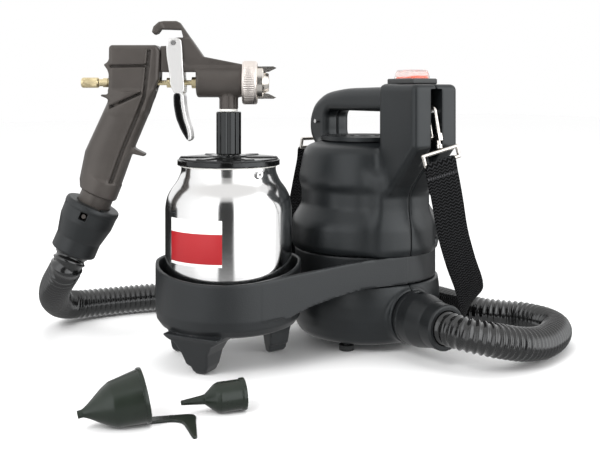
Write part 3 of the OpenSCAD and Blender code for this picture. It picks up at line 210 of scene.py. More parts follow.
def smooth_path(points, steps):
    """Catmull-Rom curve through points: p = (2b + (c-a)f + (2a-5b+4c-d)f^2 + (3b-a-3c+d)f^3) / 2."""
    p = np.asarray(points, float)
    q = np.vstack([p[:1], p, p[-1:]])
    t = np.linspace(0, len(p) - 1, (len(p) - 1) * steps + 1)
    i = np.minimum(t.astype(int), len(p) - 2)
    f = (t - i)[:, None]
    a, b, c, d = (q[i + k] for k in range(4))
    return 0.5 * (2 * b + (c - a) * f + (2 * a - 5 * b + 4 * c - d) * f**2 + (3 * b - a - 3 * c + d) * f**3)


def evenly(path, n):
    """n + 1 points at equal lengths along a path, and the path's whole length."""
    s = lengths(path)
    at = np.linspace(0, s[-1], n + 1)
    return np.stack([np.interp(at, s, path[:, k]) for k in range(3)], 1), s[-1]


def lathe(profile, sides=96, wave=None):
    """(r cos a, r sin a, z) for each profile point (r, z) and angle a; wave(a, z) is added to r."""
    p = np.asarray(profile, float)
    a = np.linspace(0, 2 * np.pi, sides, endpoint=False)[None, :]
    r, z = p[:, :1], p[:, 1:] + 0 * a
    r = np.where(r > 1e-6, r + (wave(a, z) if wave else 0), 0) + 0 * a
    return np.stack([r * np.cos(a), r * np.sin(a), z], -1).reshape(-1, 3), grid_faces(len(p), sides, ring_rows=True)


def tube(path, radius, sides=16, closed=False, bore=None, up=(0, 0, 1)):
    """Rings p + r (cos a side + sin a up') along a path, with flat ends, or with a bore of its own radius.

    The frame's own turning about the path is summed up and taken off a, so an open tube doesn't twist.
    """
    p = np.asarray(path, float)
    t = unit(np.roll(p, -1, 0) - np.roll(p, 1, 0) if closed else np.gradient(p, axis=0))
    side = unit(np.cross(t, np.asarray(up, float)))
    lift = np.cross(side, t)
    a = np.linspace(0, 2 * np.pi, sides, endpoint=False)[None, :, None] * np.ones((len(p), 1, 1))
    if not closed:
        turn = ((side[1:] - side[:-1]) * (lift[1:] + lift[:-1]) / 2).sum(1)
        a -= np.concatenate([[0], np.cumsum(turn)])[:, None, None]
    ring = np.cos(a) * side[:, None] + np.sin(a) * lift[:, None]
    rings = p[:, None] + np.broadcast_to(np.asarray(radius, float), len(p))[:, None, None] * ring
    if closed:
        return rings.reshape(-1, 3), grid_faces(len(p), sides, ring_rows=True)
    if bore:
        inner = slice(None, None, -6)
        rings = np.concatenate([rings, p[inner, None] + bore * ring[inner], p[:1, None] + bore * ring[:1]])
        return rings.reshape(-1, 3), grid_faces(len(rings), sides, ring_rows=True)
    ends = np.repeat(p[[0, -1], None], sides, 1)
    rings = np.concatenate([ends[:1], rings, ends[1:]])
    return rings.reshape(-1, 3), grid_faces(len(rings), sides)


# %% Fields


def outline(points, soft=0.0):
    """Signed distance to a polygon, negative inside: the least distance to an edge, with the winding's sign."""
    p = np.asarray(points, float)
    if soft:
        e = np.roll(p, -1, 0) - p
        n = np.stack([e[:, 1], -e[:, 0]], 1) / np.linalg.norm(e, axis=1)[:, None]
        n *= np.sign(np.sum(p[:, 0] * np.roll(p[:, 1], -1) - np.roll(p[:, 0], -1) * p[:, 1]))
        m = np.roll(n, 1, 0)
        p = p - soft * (n + m) / np.maximum(1 + np.sum(n * m, 1), 0.3)[:, None]

    def distance(u, v):
        near, inside = np.inf, False
        for (ax, ay), (bx, by) in zip(p, np.roll(p, -1, 0)):
            ex, ey = bx - ax, by - ay
            t = np.clip(((u - ax) * ex + (v - ay) * ey) / (ex * ex + ey * ey), 0, 1)
            near = np.minimum(near, (u - ax - t * ex) ** 2 + (v - ay - t * ey) ** 2)
            if ey:
                inside = inside ^ (((ay > v) != (by > v)) & (u < ax + ex * (v - ay) / ey))
        return np.where(inside, -1, 1) * np.sqrt(near) - soft

    return distance


def join(a, b, k):
    """Soft minimum: min(a, b) less k h (1-h), with h = clip(1/2 + (b-a)/2k, 0, 1)."""
    h = np.clip(0.5 + 0.5 * (b - a) / k, 0, 1)
    return b + (a - b) * h - k * h * (1 - h)


def meet(a, b, k):
    """What is inside both, with a rounded edge: -join(-a, -b)."""
    return -join(-a, -b, k)


def cut(a, b, k):
    """a without b, with a rounded edge."""
    return -join(-a, b, k)


def inside(*fields):
    """What is inside them all, with sharp edges: their maximum."""
    return reduce(np.maximum, fields)


def either(*fields):
    """What is inside any of them, with sharp corners: their minimum."""
    return reduce(np.minimum, fields)


def slab(x, lo, hi):
    """Distance outside lo <= x <= hi."""
    return np.maximum(lo - x, x - hi)


def mould(field, lo, hi, step):
    """Points and quads of the surface field = 0: one point in each grid cell that it crosses (the mean of where
    the cell's edges cross), one quad round each crossed edge, then p -= f grad f / |grad f|^2, three times."""
    ax = [np.arange(a, b + step, step) for a, b in zip(lo, hi)]
    f = field(*np.meshgrid(*ax, indexing="ij", sparse=True))
    f = np.broadcast_to(f, [len(a) for a in ax]).astype(np.float32)
    s = f < 0
    corners = np.array([(i, j, k) for i in (0, 1) for j in (0, 1) for k in (0, 1)])
    c = sum(s[tuple(slice(i, len(a) - 1 + i) for i, a in zip(corner, ax))].astype(np.int8) for corner in corners)
    crossed = (c > 0) & (c < 8)
    cell = np.argwhere(crossed)
    number = np.zeros(crossed.shape, np.int64)
    number[crossed] = np.arange(len(cell))
    total, hits = np.zeros((len(cell), 3)), np.zeros((len(cell), 1))
    for a in corners:
        for d in np.flatnonzero(a == 0):
            b = a.copy()
            b[d] = 1
            fa, fb = f[tuple((cell + a).T)], f[tuple((cell + b).T)]
            on = ((fa < 0) != (fb < 0))[:, None]
            t = (fa / np.where(fa == fb, 1, fa - fb))[:, None]
            total += np.where(on, cell + a + t * (b - a), 0)
            hits += on
    p = np.array(lo, float) + step * total / hits
    quads = []
    for d in range(3):
        u, v = np.eye(3, dtype=int)[(d + 1) % 3], np.eye(3, dtype=int)[(d + 2) % 3]
        n = s.shape[d]
        q = np.argwhere(np.take(s, range(n - 1), d) != np.take(s, range(1, n), d))
        ok = np.all((q - u - v >= 0) & (q < np.array(crossed.shape)), axis=1)
        q = q[ok]
        quad = np.stack([number[tuple(x.T)] for x in (q - u - v, q - v, q, q - u)], 1)
        quads.append(np.where(s[tuple(q.T)][:, None], quad, quad[:, ::-1]))
    for _ in range(3):
        h = 0.15 * step
        x, y, z = p.T
        g = np.stack([field(x + h, y, z) - field(x - h, y, z), field(x, y + h, z) - field(x, y - h, z),
                      field(x, y, z + h) - field(x, y, z - h)], 1) / (2 * h)
        slide = field(x, y, z)[:, None] * g / np.maximum((g**2).sum(1, keepdims=True), 0.2)
        p -= np.clip(slide, -0.4 * step, 0.4 * step)
    return p, np.concatenate(quads)


def moulded(name, field, lo, hi, step, *rest, **more):
    """A piece whose surface is where its field is zero, within the box from lo to hi."""
    return piece(name, *mould(field, lo, hi, step), *rest, weld=False, **more)


# %% [markdown]
# ## Finishes
# Most of the sprayer is black moulded plastic, whose tool was sandblasted: a fine grain, uneven shine and soft
# blotches from handling. One node group gives that to every plastic, with its own grain for each. Metals share
# a second group, whose rings or streaks change the shine more than the colour.

# %% Node helpers


def add(tree, kind, inputs=(), **settings):
    """A new node. Each input is a plain value, or a socket to link in, or a node whose first output is linked."""
    n = tree.nodes.new(kind if kind.startswith("Node") else "ShaderNode" + kind)
    for key, value in settings.items():
        setattr(n, key, value)
    for key, value in dict(inputs).items():
        if isinstance(value, bpy.types.Node):
            value = value.outputs[0]
        if isinstance(value, bpy.types.NodeSocket):
            tree.links.new(value, n.inputs[key])
        else:
            n.inputs[key].default_value = value
    return n


def math(tree, operation, *terms, **settings):
    """A Math node on up to three terms."""
    return add(tree, "Math", dict(enumerate(terms)), operation=operation, **settings)


def ranged(tree, value, lo, hi, to_lo=0.0, to_hi=1.0):
    """to_lo + (to_hi - to_lo) (value - lo) / (hi - lo), held between to_lo and to_hi."""
    return add(tree, "MapRange", {0: value, 1: lo, 2: hi, 3: to_lo, 4: to_hi})


def mixed(tree, amount, a, b, **settings):
    """Colour (1 - amount) a + amount b."""
    return add(tree, "Mix", {0: amount, 6: a, 7: b}, data_type="RGBA", **settings).outputs[2]


def place_of(tree):
    """Object coordinates, in metres."""
    return add(tree, "TexCoord").outputs["Object"]


# %% Node groups


def finish_group(name, inputs):
    """An empty group with inputs given as name: default, which is to put out a colour, a roughness and a normal."""
    g = bpy.data.node_groups.new(name, "ShaderNodeTree")
    kinds = {float: "NodeSocketFloat", tuple: "NodeSocketColor", list: "NodeSocketVector"}
    for key, value in inputs.items():
        s = g.interface.new_socket(name=key, in_out="INPUT", socket_type=kinds[type(value)])
        s.default_value = value
    for key, kind in (("Color", tuple), ("Roughness", float), ("Normal", list)):
        g.interface.new_socket(name=key, in_out="OUTPUT", socket_type=kinds[kind])
    return g, g.nodes.new("NodeGroupInput").outputs


def moulded_group():
    """Colour blotches, uneven shine and a blasted grain, all from noise in object space."""
    g, a = finish_group("moulded_plastic", {"Color": (0.03, 0.03, 0.03, 1.0), "Roughness": 0.45, "Grain": 1500.0,
                                            "Depth": 0.25, "Blotch": 0.25})
    broad = add(g, "TexNoise", {"Vector": place_of(g), "Scale": 22.0, "Detail": 4.0, "Roughness": 0.6})
    grain = add(g, "TexNoise", {"Vector": place_of(g), "Scale": a["Grain"], "Detail": 2.0})
    amount = math(g, "MULTIPLY", ranged(g, broad, 0.3, 0.7, -0.5, 0.5), a["Blotch"])
    tint = add(g, "HueSaturation", {"Value": math(g, "ADD", amount, 1.0), "Color": a["Color"]})
    shine = math(g, "MULTIPLY_ADD", amount, 0.3, a["Roughness"])
    bump = add(g, "Bump", {"Distance": 0.0002, "Strength": a["Depth"], "Height": grain})
    add(g, "NodeGroupOutput", {"Color": tint, "Roughness": shine, "Normal": bump})
    return g


def metal_group():
    """Fine lines round or along the piece: noise stretched by Stretch changes shine, tone and height."""
    g, a = finish_group("worked_metal", {"Color": (0.8, 0.8, 0.8, 1.0), "Roughness": 0.2, "Stretch": [1, 1, 1],
                                         "Depth": 0.1})
    scaled = add(g, "VectorMath", {0: place_of(g), 1: a["Stretch"]}, operation="MULTIPLY")
    lines = add(g, "TexNoise", {"Vector": scaled, "Scale": 1.0, "Detail": 5.0, "Roughness": 0.65})
    smudge = add(g, "TexNoise", {"Vector": place_of(g), "Scale": 35.0, "Detail": 3.0})
    off = math(g, "MULTIPLY_ADD", math(g, "ADD", lines, smudge), 0.16, -0.16)
    tint = add(g, "HueSaturation", {"Value": math(g, "MULTIPLY_ADD", off, -0.6, 1.0), "Color": a["Color"]})
    bump = add(g, "Bump", {"Distance": 0.0001, "Strength": a["Depth"], "Height": lines})
    add(g, "NodeGroupOutput", {"Color": tint, "Roughness": math(g, "ADD", off, a["Roughness"]), "Normal": bump})
    return g


MOULDED, METAL = moulded_group(), metal_group()


# %% Materials
def material(name, group, values, **plain):
    """A Principled material whose colour, roughness and normal come from a group, with plain values besides."""
    m = bpy.data.materials.new(name)
    m.use_nodes = True
    skin = m.node_tree.nodes["Principled BSDF"]
    for key, value in plain.items():
        skin.inputs[key.replace("_", " ")].default_value = value
    g = add(m.node_tree, "Group", values, node_tree=group)
    for key in ("Base Color", "Roughness", "Normal"):
        m.node_tree.links.new(g.outputs[key.replace("Base ", "")], skin.inputs[key])
    return m


def plastic(name, color, roughness=0.42, grain=1400.0, depth=0.25, blotch=0.3, **plain):
    """Moulded plastic. Its gloss is a little bluish unless it has a tint of its own."""
    plain.setdefault("Specular_Tint", (0.94, 0.98, 1.0, 1.0))
    return material(name, MOULDED, {"Color": (*color, 1), "Roughness": roughness, "Grain": grain, "Depth": depth,
                                    "Blotch": blotch}, **plain)


def metal(name, color, roughness=0.2, stretch=(60, 60, 4000), depth=0.1, **plain):
    """Worked metal. The lines of its noise run across the direction with the largest stretch."""
    return material(name, METAL, {"Color": (*color, 1), "Roughness": roughness, "Stretch": stretch, "Depth": depth},
                    Metallic=1.0, **plain)


# %% The sprayer's plastics and metals
housing_black = plastic("housing_black", (0.0075, 0.0088, 0.0098), 0.38, 1300, 0.35, 0.35)
holder_black = plastic("holder_black", (0.0125, 0.0135, 0.0145), 0.44, 1000, 0.4, 0.3)
gun_black = plastic("gun_black", (0.044, 0.039, 0.0355), 0.36, 1600, 0.35, 0.35,
                    Specular_Tint=(1.0, 0.95, 0.92, 1.0))
connector_black = plastic("connector_black", (0.009, 0.0098, 0.0105), 0.4, 1500, 0.3, 0.3)
nut_black = plastic("nut_black", (0.003, 0.003, 0.003), 0.14, 900, 0.06, 0.2)
hose_black = plastic("hose_black", (0.0055, 0.0054, 0.0054), 0.22, 500, 0.04, 0.3, Coat_Weight=0.8,
                     Coat_Roughness=0.12)
buckle_black = plastic("buckle_black", (0.010, 0.010, 0.010), 0.36)
switch_black = plastic("switch_black", (0.030, 0.030, 0.030), 0.4, 1200, 0.15)
olive_black = plastic("olive_black", (0.010, 0.0145, 0.0095), 0.3, 700, 0.12, 0.5)
rubber_black = plastic("rubber_black", (0.015, 0.015, 0.015), 0.7, 2200, 0.5)
carbon_black = plastic("carbon_black", (0.03, 0.03, 0.03), 0.6)
seal_white = plastic("seal_white", (0.80, 0.79, 0.75), 0.4, 900, 0.1, 0.1)
filter_felt = plastic("filter_felt", (0.30, 0.29, 0.25), 0.9, 420, 1.0, 0.5, Sheen_Weight=0.3)
orange_rocker = plastic("orange_rocker", (0.80, 0.09, 0.015), 0.25, 500, 0.05, 0.1)
cup_aluminium = metal("cup_aluminium", (0.88, 0.88, 0.88), 0.13, (25, 25, 3000), 0.06)
nickel = metal("nickel", (0.86, 0.82, 0.77), 0.22, (900, 900, 900), 0.06)
satin_nickel = metal("satin_nickel", (0.97, 0.90, 0.85), 0.4, (300, 300, 2500), 0.1)
steel = metal("steel", (0.70, 0.70, 0.70), 0.25, (200, 200, 2500), 0.1)
trigger_steel = metal("trigger_steel", (0.97, 0.965, 0.955), 0.46, (1500, 1500, 120), 0.06)
pale_brass = metal("pale_brass", (0.93, 0.80, 0.50), 0.3, (700, 700, 700), 0.08)
iron = metal("iron", (0.25, 0.25, 0.26), 0.5, (90, 90, 2600), 0.4)
cast_alloy = metal("cast_alloy", (0.62, 0.62, 0.63), 0.42, (900, 900, 900), 0.3)


# %% Clear boot, webbing and plate
def clear_boot():
    """Clear, faintly rosy vinyl: it lets most light pass and shows its edges by its own gloss."""
    return plastic("clear_boot", (1.0, 0.80, 0.76), 0.12, 400, 0.05, 0.05, Transmission_Weight=0.9, IOR=1.35,
                   Alpha=0.4)


STRAP_LENGTH, SEAM_AT = 598.3, 47.0  # mm: the strap with its folded ends, and each end's stitches from that end


def webbing():
    """Zigzag twill: rows lean one way and then the other across the strap. Their colour is painted shade in the
    valleys between rows and a painted highlight on their crests. White stitches hold each end down.
    """
    m = bpy.data.materials.new("black_webbing")
    m.use_nodes = True
    t = m.node_tree
    skin = t.nodes["Principled BSDF"].inputs
    skin["Roughness"].default_value, skin["Specular IOR Level"].default_value = 0.85, 0.12
    skin["Sheen Weight"].default_value, skin["Sheen Roughness"].default_value = 0.02, 0.4
    uv = add(t, "SeparateXYZ", {0: add(t, "UVMap", uv_map="length_and_width")}).outputs
    lean = math(t, "MULTIPLY_ADD", math(t, "PINGPONG", uv["Y"], 2.25), 0.9, uv["X"])
    yarn = add(t, "TexNoise", {"Vector": place_of(t), "Scale": 900.0, "Detail": 2.0})
    height = math(t, "MULTIPLY_ADD", yarn, 0.5, math(t, "PINGPONG", lean, 1.6))
    bump = add(t, "Bump", {"Strength": 1.0, "Distance": 0.0009, "Height": height})
    # Painted shade in the valleys of the rows and painted highlight on their crests, with yarn noise in the tone
    weave_painted_light = mixed(t, ranged(t, height, 0.8, 1.9), (0.0006, 0.0007, 0.0009, 1), (0.036, 0.037, 0.04, 1))
    seam = math(t, "COMPARE", math(t, "PINGPONG", uv["X"], STRAP_LENGTH / 2), SEAM_AT, 1.0)
    stitch = math(t, "MULTIPLY", seam, math(t, "GREATER_THAN", math(t, "PINGPONG", uv["Y"], 1.0), 0.35))
    t.links.new(mixed(t, stitch, weave_painted_light, (0.075, 0.075, 0.08, 1)), skin["Base Color"])
    t.links.new(bump.outputs[0], skin["Normal"])
    return m


LABEL_FOOT, LABEL_TOP = 88.6, 125.6


def plate_red():
    """Printed plate with no words: a red field between a broad white band above and a thin one below."""
    m = plastic("plate_red", (0.34, 0.006, 0.010), 0.35, 900, 0.05, 0.05)
    t = m.node_tree
    foot = tuple(-put([[0, 0, LABEL_FOOT]], CUP)[0] * MM)
    height = add(t, "SeparateXYZ", {0: add(t, "Mapping", {0: place_of(t), "Location": foot})}).outputs["Z"]
    bands = math(t, "ADD", math(t, "GREATER_THAN", height, 0.0262), math(t, "LESS_THAN", height, 0.0022),
                 use_clamp=True)
    red = next(n for n in t.nodes if n.type == "GROUP").outputs["Color"]
    t.links.new(mixed(t, bands, red, (0.86, 0.86, 0.84, 1)), t.nodes["Principled BSDF"].inputs["Base Color"])
    return m


boot_clear, black_webbing, plate = clear_boot(), webbing(), plate_red()
print("materials:", len(bpy.data.materials))

# %% [markdown]
# ## Air hose
# The hose is the longest piece and the one that is free to lie where it likes, so it comes first. Its wall is
# corrugated: the ring's radius swells and shrinks along the path, with narrow crests and wide valleys. It leaves
# the blower's connector, loops along the floor behind the unit and rises to the gun.

# %% Air hose
HOSE_ROUTE = [
    (0, -108, 33), (0, -121, 33), (5, -134, 31.5), (18, -144, 28.5), (34, -148, 24.5), (54, -149, 20),
    (81, -142, 15.5), (108, -130, 14.2), (130, -113, 14.2), (138, -91, 14.2), (134, -67, 14.2), (122, -50, 14.2),
    (113, -34, 14.2), (110, -12, 14.2), (112, 12, 14.2), (108, 46, 14.2), (92, 84, 14.2), (64, 116, 14.2),
    (28, 138, 14.2), (-12, 154, 14.2), (-54, 168, 14.2), (-98, 181, 14.2), (-142, 192, 14.2), (-182, 197, 14.2),
    (-213, 195.5, 15.5), (-229.7, 184.2, 20.7), (-241.6, 163.3, 30), (-252, 134.6, 42.5), (-259, 102.5, 58.5),
    (-260.6, 72.7, 76.8), (-254.8, 69.1, 92.4), (-249.6, 65.9, 106.6)]
RIBS, PER_RIB = 168, 8
VALLEY_R, RIB_HEIGHT, BORE_R = 12.3, 1.7, 10.5
line, hose_length = evenly(smooth_path(HOSE_ROUTE, 12), RIBS * PER_RIB)
phase = np.arange(len(line)) / PER_RIB * 2 * np.pi
hose_radius = VALLEY_R + RIB_HEIGHT * (0.5 - 0.5 * np.cos(phase)) ** 1.4
hose = piece("air_hose", *tube(line, hose_radius, sides=28, bore=BORE_R), hose_black, None, ["hose"], weld=False,
             crease=60)
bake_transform(hose)
print("hose length:", round(hose_length, 1), "mm")

# %% [markdown]
# ## Hose connectors
# Each end of the hose is held by a sleeve that twists onto a spigot with two pins. The sleeve is wide at its
# mouth and narrow at the hose, with a window where a pin snaps in. It is moulded as a turned profile with the
# slots taken out.

# %% Connectors
SLEEVE = outline([(14.6, 0), (22, 0), (23, 1), (22.6, 16), (19.4, 30), (19, 31), (19, 43), (18, 44), (14.4, 44),
                  (14.4, 28), (10.5, 28), (10.5, 24), (14.6, 24)], soft=0.4)
TWIST = 30  # degrees from where a pin enters to where it snaps in


def sleeve(x, y, z):
    """Turned profile with a raised mouth, less two windows and the slots that lead to them."""
    r = np.hypot(x, y)
    f = SLEEVE(r, z)
    f = either(f, inside(np.abs(r - 22.6) - 0.7, slab(z, 2.0, 5.0)))
    side = np.where(y < 0, 1.0, -1.0)
    window = meet(np.abs(side * x) - 3.1, np.abs(z - 9) - 3.3, 1.0)
    a = np.radians(TWIST)
    across = side * (x * np.cos(a) + y * np.sin(a))
    return cut(cut(f, inside(window, 13 - r), 0.5), inside(np.abs(across) - 2.2, z - 11, r - 21.6), 0.4)


sleeve_points, sleeve_faces = mould(sleeve, (-24.5, -24.5, -1), (24.5, 24.5, 45), 0.8)
blower_sleeve = piece("blower_hose_sleeve", sleeve_points, sleeve_faces, connector_black, "blower_connector",
                      ["hose_connector_blower"], at=OUTLET @ move(0, 0, 9), weld=False)
gun_sleeve = piece("gun_hose_sleeve", sleeve_points, sleeve_faces[:, ::-1], connector_black, "gun_connector",
                   ["hose_connector_gun"], at=GRIP_END @ move(0, 0, 9), weld=False)

# %% [markdown]
# ## Blower housing
# The housing is a stout round body with a waist for the holder's band, a block at the front that carries the
# switch, and a bar handle. As one soft field, each form melts into its neighbour as a moulding does. The two
# halves are the same field on either side of the seam, each with its own soft edge, so the seam is a groove.

# %% Housing field
BODY = np.array([(4.5, 50), (6.5, 57), (11.5, 62.5), (20, 66), (30, 68.3), (42, 69), (52, 68.5), (59, 67.3), (86, 67),
                 (90, 68), (108, 68), (113, 66.3), (121, 61.2), (125, 59), (139, 59), (145, 61.2), (150, 61.2),
                 (172, 57), (179, 54), (183, 48)], float)
BODY_FOOT, BODY_TOP = 4.5, 183
body_z = np.linspace(BODY_FOOT, BODY_TOP, 400)
body_r = np.convolve(np.pad(np.interp(body_z, BODY[:, 0], BODY[:, 1]), 5, "edge"), np.ones(11) / 11, "valid")
body_slope = np.gradient(body_r, body_z)
BAR = outline(rounded([(-74, 231), (-40, 232), (18, 231), (50, 227), (69, 216.5), (77, 201), (76, 185), (54, 160),
                       (-74, 160)], 13))
HAND = outline([(-52, 171), (46, 171), (46, 210), (-52, 210)], soft=8)
BLOCK = outline([(-103, 181), (-103, 234), (-52, 234), (-52, 140), (-66, 140)], soft=5)
SEATS = [(-54, 93, 26), (54, 93, 26), (57, 17, 18), (58.5, 199, 8), (-60, 172, 16)]  # screws: y, z and the least x
GLAND = np.radians(24)
HALF_SEAM, INTAKE_R = 0.12, 37


def housing(x, y, z):
    """Body, column, block, bar and bosses joined softly, less the waist, hand's opening, slots, pocket and bores."""
    r = np.hypot(x, y)
    f = (r - np.interp(z, body_z, body_r)) / np.sqrt(1 + np.interp(z, body_z, body_slope) ** 2)
    f = meet(meet(f, z - BODY_TOP, 12.0), BODY_FOOT - z, 6.0)
    f = cut(f, inside(slab(z, 59.6, 85.4), 62 - r), 1.6)
    column = meet(meet(inside(np.abs(x) - 30, y + 25), r - 66.5, 6.0), slab(z, 87, 156), 8.0)
    f = join(f, column, 9.0)
    f = join(f, meet(BLOCK(y, z), np.abs(x) - 23.5, 6.0), 6.0)
    bar = meet(meet(BAR(y, z), np.abs(x) - 15, 9.0), -HAND(y, z), 7.0)
    f = join(f, bar, 9.0)
    along, across = y * np.cos(GLAND) - x * np.sin(GLAND), x * np.cos(GLAND) + y * np.sin(GLAND)
    air, cord = np.hypot(x, z - OUTLET_Z), np.hypot(across, z - OUTLET_Z)
    f = join(f, meet(inside(air - 23.5, y), -70 - y, 2.0), 4.0)
    f = join(f, meet(inside(cord - 9.5, 40 - along), along - 72, 1.5), 3.0)
    slots = either(inside(y + 88, slab(z, 130, 230)), inside(62 - y, slab(z, 188, 224)))
    f = cut(f, inside(slots, np.abs(x) - 6), 1.0)
    f = cut(f, inside(np.abs(x) - 11.4, slab(y, -84.4, -55.6), 224 - z), 0.8)
    intake = inside(r - INTAKE_R, slab(z, 177, 197))
    f = cut(f, either(inside(air - 14.05, y), inside(cord - 6.55, 30 - along), intake), 0.8)
    for at_y, at_z, start in SEATS:
        f = cut(f, inside(np.hypot(y - at_y, z - at_z) - 3.8, start - x), 0.8)
    return f


# %% Housing halves
for side, name in ((-1, "housing_left"), (1, "housing_right")):
    reach = sorted((side * HALF_SEAM, side * 72.5))
    moulded("blower_" + name, lambda x, y, z: meet(housing(x, y, z), HALF_SEAM - side * x, 1.7),
            (reach[0] - 2.5, -106, 3), (reach[1] + 2.5, 91, 236), 1.25, housing_black, "blower", [name], crease=50)

# %% [markdown]
# ## Cup holder
# The holder is one moulding: a band round the blower's waist, two straight walls, a deep ring for the cup, a
# small pocket between them and three flared legs. The ring is a turned profile, the walls are thin slabs along
# the two lines that touch both circles, and each leg is where its side view and its front view overlap.

# %% Holder field
RING = outline([(28, 32), (51, 32), (57, 34.6), (60.5, 39.5), (61.6, 46.5), (61.6, 90), (58.6, 90), (58.6, 46),
                (55, 39.5), (51, 35), (28, 35)])
BAND_IN, BAND_OUT, RING_IN, RING_OUT = 62.3, 65.3, 58.6, 61.6  # radii round the blower and round the cup
LEAN = np.arccos((BAND_OUT - RING_OUT) / REACH)
UNDER = [(-118, 46), (-100, 52), (-75, 57), (-48, 60.6)]
LEG_FRONT = outline([(-26, 34), (-24, 30), (-17, 26), (-13, 18), (-11, 8), (-9, 6.6), (-7, 6), (-6, 2.4), (-4, 0.4),
                     (-3, 0), (3, 0), (6, 1.6), (9, 7), (12, 18), (17, 26), (24, 30), (26, 34)])
LEGS = [(angle, width, outline([(r - 13, 0), (r + 2, 0), (r + 4, 3), (57.6, 30), (60.7, 34), (r - 15, 34)], soft=0.8))
        for angle, r, width in ((-148.5, 42, 1.0), (120, 53, 0.6), (1, 51, 0.6))]


def holder(x, y, z):
    """Ring, walls, band, pocket floor and legs, with a rim that dips at the front."""
    xc = x + REACH
    r, from_blower = np.hypot(xc, y), np.hypot(x, y)
    rim = 85.5 + 0.154 * np.minimum(0.5225 * xc + 0.8526 * y, 0)
    f = RING(r, z)
    for angle, width, side_view in LEGS:
        a = np.radians(angle)
        rho, tau = xc * np.cos(a) + y * np.sin(a), y * np.cos(a) - xc * np.sin(a)
        leg = meet(side_view(rho, z), LEG_FRONT(tau / width, z) * (1 if width == 1 else 0.75), 1.5)
        f = join(f, inside(leg, z - 34), 2.5)
    f = inside(f, -inside(r - 28, np.abs(z - 33) - 9))
    q = -x * np.cos(LEAN) + np.abs(y) * np.sin(LEAN)
    w = x * np.sin(LEAN) + np.abs(y) * np.cos(LEAN)
    under = np.interp(x, [p[0] for p in UNDER], [p[1] for p in UNDER])
    between = slab(w, -REACH * np.sin(LEAN), 0)
    top = np.where(x > -58, 84.4, 84.4 + (-58 - x) * 0.5)
    wall = inside(slab(q, BAND_IN, BAND_OUT), between, 0.95 * (under - z), z - top, RING_IN - r)
    floor = inside(q - 64, slab(z, 60.5, 63), between, 60 - r, 63.5 - from_blower)
    band = meet(slab(from_blower, BAND_IN, BAND_OUT), slab(z, 60.3, 84.7), 1.2)
    f = join(join(f, wall, 1.2), either(floor, band), 1.2)
    return meet(f, z - rim, 1.2)


moulded("cup_holder_moulding", holder, (-206, -69, -1), (68, 69, 88), 1.15, holder_black, "blower", ["cup_holder"],
        crease=45)

# %% [markdown]
# ## Gun handle
# The handle leans back, is oval across and flat at its sides. A groove runs down beside its front edge, two
# more part the head from the grip, and spurs above and below guide the hand.

# %% Gun handle
HEAD = outline([(-100.5, -8), (-100, 31.6), (-60, 31.6), (-57, 27), (-58, 2), (-61.7, -6), (-68, -15), (-70, -26),
                (-98, -26)], soft=3)
FRONT = np.array([(-150, -118), (-100.7, -96.7), (-81, -89.4), (-57.4, -81), (-27.5, -68.4), (-12, -62.5), (31, -58)])
BACK = np.array([(-120, -125.3), (-88.1, -125.7), (-81, -126.2), (-57.4, -121.4), (-27.5, -107.6), (-12, -100.5),
                 (31, -99.5)])
SPURS = [(outline([(-99, 8), (-104.5, 15), (-99, 19)], soft=0.6), 10),
         (outline([(-92, -22), (-97, -15), (-107, -10.6), (-99, -10), (-90, -8)], soft=0.8), 11.5),
         (outline([(-90, -50), (-82, -54.5), (-70.5, -60.2), (-71.5, -62.4), (-82, -60), (-90, -63)], soft=0.7), 6)]
LEAN_SIN, LEAN_COS = np.sin(np.radians(GRIP_TILT)), np.cos(np.radians(GRIP_TILT))


def handle(x, y, z):
    """Head and oval grip joined softly, with grooves and spurs, cut square at the grip's end, less its bores."""
    front, back = np.interp(z, FRONT[:, 0], FRONT[:, 1]), np.interp(z, BACK[:, 0], BACK[:, 1])
    u, v = (2 * x - front - back) / (front - back), y / 13.5
    f = ((np.abs(u) ** 2.6 + np.abs(v) ** 2.6) ** (1 / 2.6) - 1) * 12
    beyond = -(x - GRIP_X) * LEAN_SIN - (z - GRIP_Z) * LEAN_COS
    axis = np.hypot((x - GRIP_X) * LEAN_COS - (z - GRIP_Z) * LEAN_SIN, y)
    f = join(inside(f, z + 8), inside(axis - 14.6, -13 - beyond), 3.0)
    f = join(f, meet(HEAD(x, z), np.abs(y) - 12, 4.0), 4.0)
    deep = 8.5 - np.abs(y)
    f = cut(f, inside(np.abs(front - 7.5 - x) - 1.3, deep, z - 27, -84 - z) * 0.8, 1.6)
    waist = np.abs((z + 14.5) - 0.45 * (x + 85)) - 1.1
    f = cut(f, inside(waist, deep, x + 72.5, -99 - x), 1.6)
    f = cut(f, inside(np.abs(z - 15.5 - 0.02 * x) - 1.0, deep, x + 66), 1.4)
    for spur, half in SPURS:
        f = join(f, meet(spur(x, z), np.abs(y) - half, 1.5), 2.0)
    f = meet(f, beyond, 1.5)
    r = np.hypot(y, z)
    return cut(f, either(r - 3.3, inside(r - 5.0, -93.5 - x), axis - 9.0 + np.maximum(-20 - beyond, 0)), 0.8)


moulded("gun_handle_moulding", handle, (-130, -16, -105), (-55, 16, 34), 0.85, gun_black, "gun", ["gun_handle"],
        at=GUN, crease=48)

# %% [markdown]
# ## Gun body
# A hollow bridge joins the handle to the barrel. It carries the hanging hook and the trigger's pin above, and
# the stem boss hangs below the barrel. The nose takes the cap ring's thread.

# %% Gun body
BRIDGE = outline([(-57, 9), (-57, 30.8), (-52, 31), (-49, 37), (-42, 38.4), (-38.4, 38.2), (-40, 44.6), (-57, 45.2),
                  (-59.5, 41.8), (-62.5, 40.6), (-64.8, 43), (-63.5, 47.5), (-59, 51.5), (-55, 52.3), (-44, 52.3),
                  (-41, 50.8), (-21, 22), (11.5, 15.6), (11.5, 0), (-27, 0), (-27, 9)], soft=0.5)


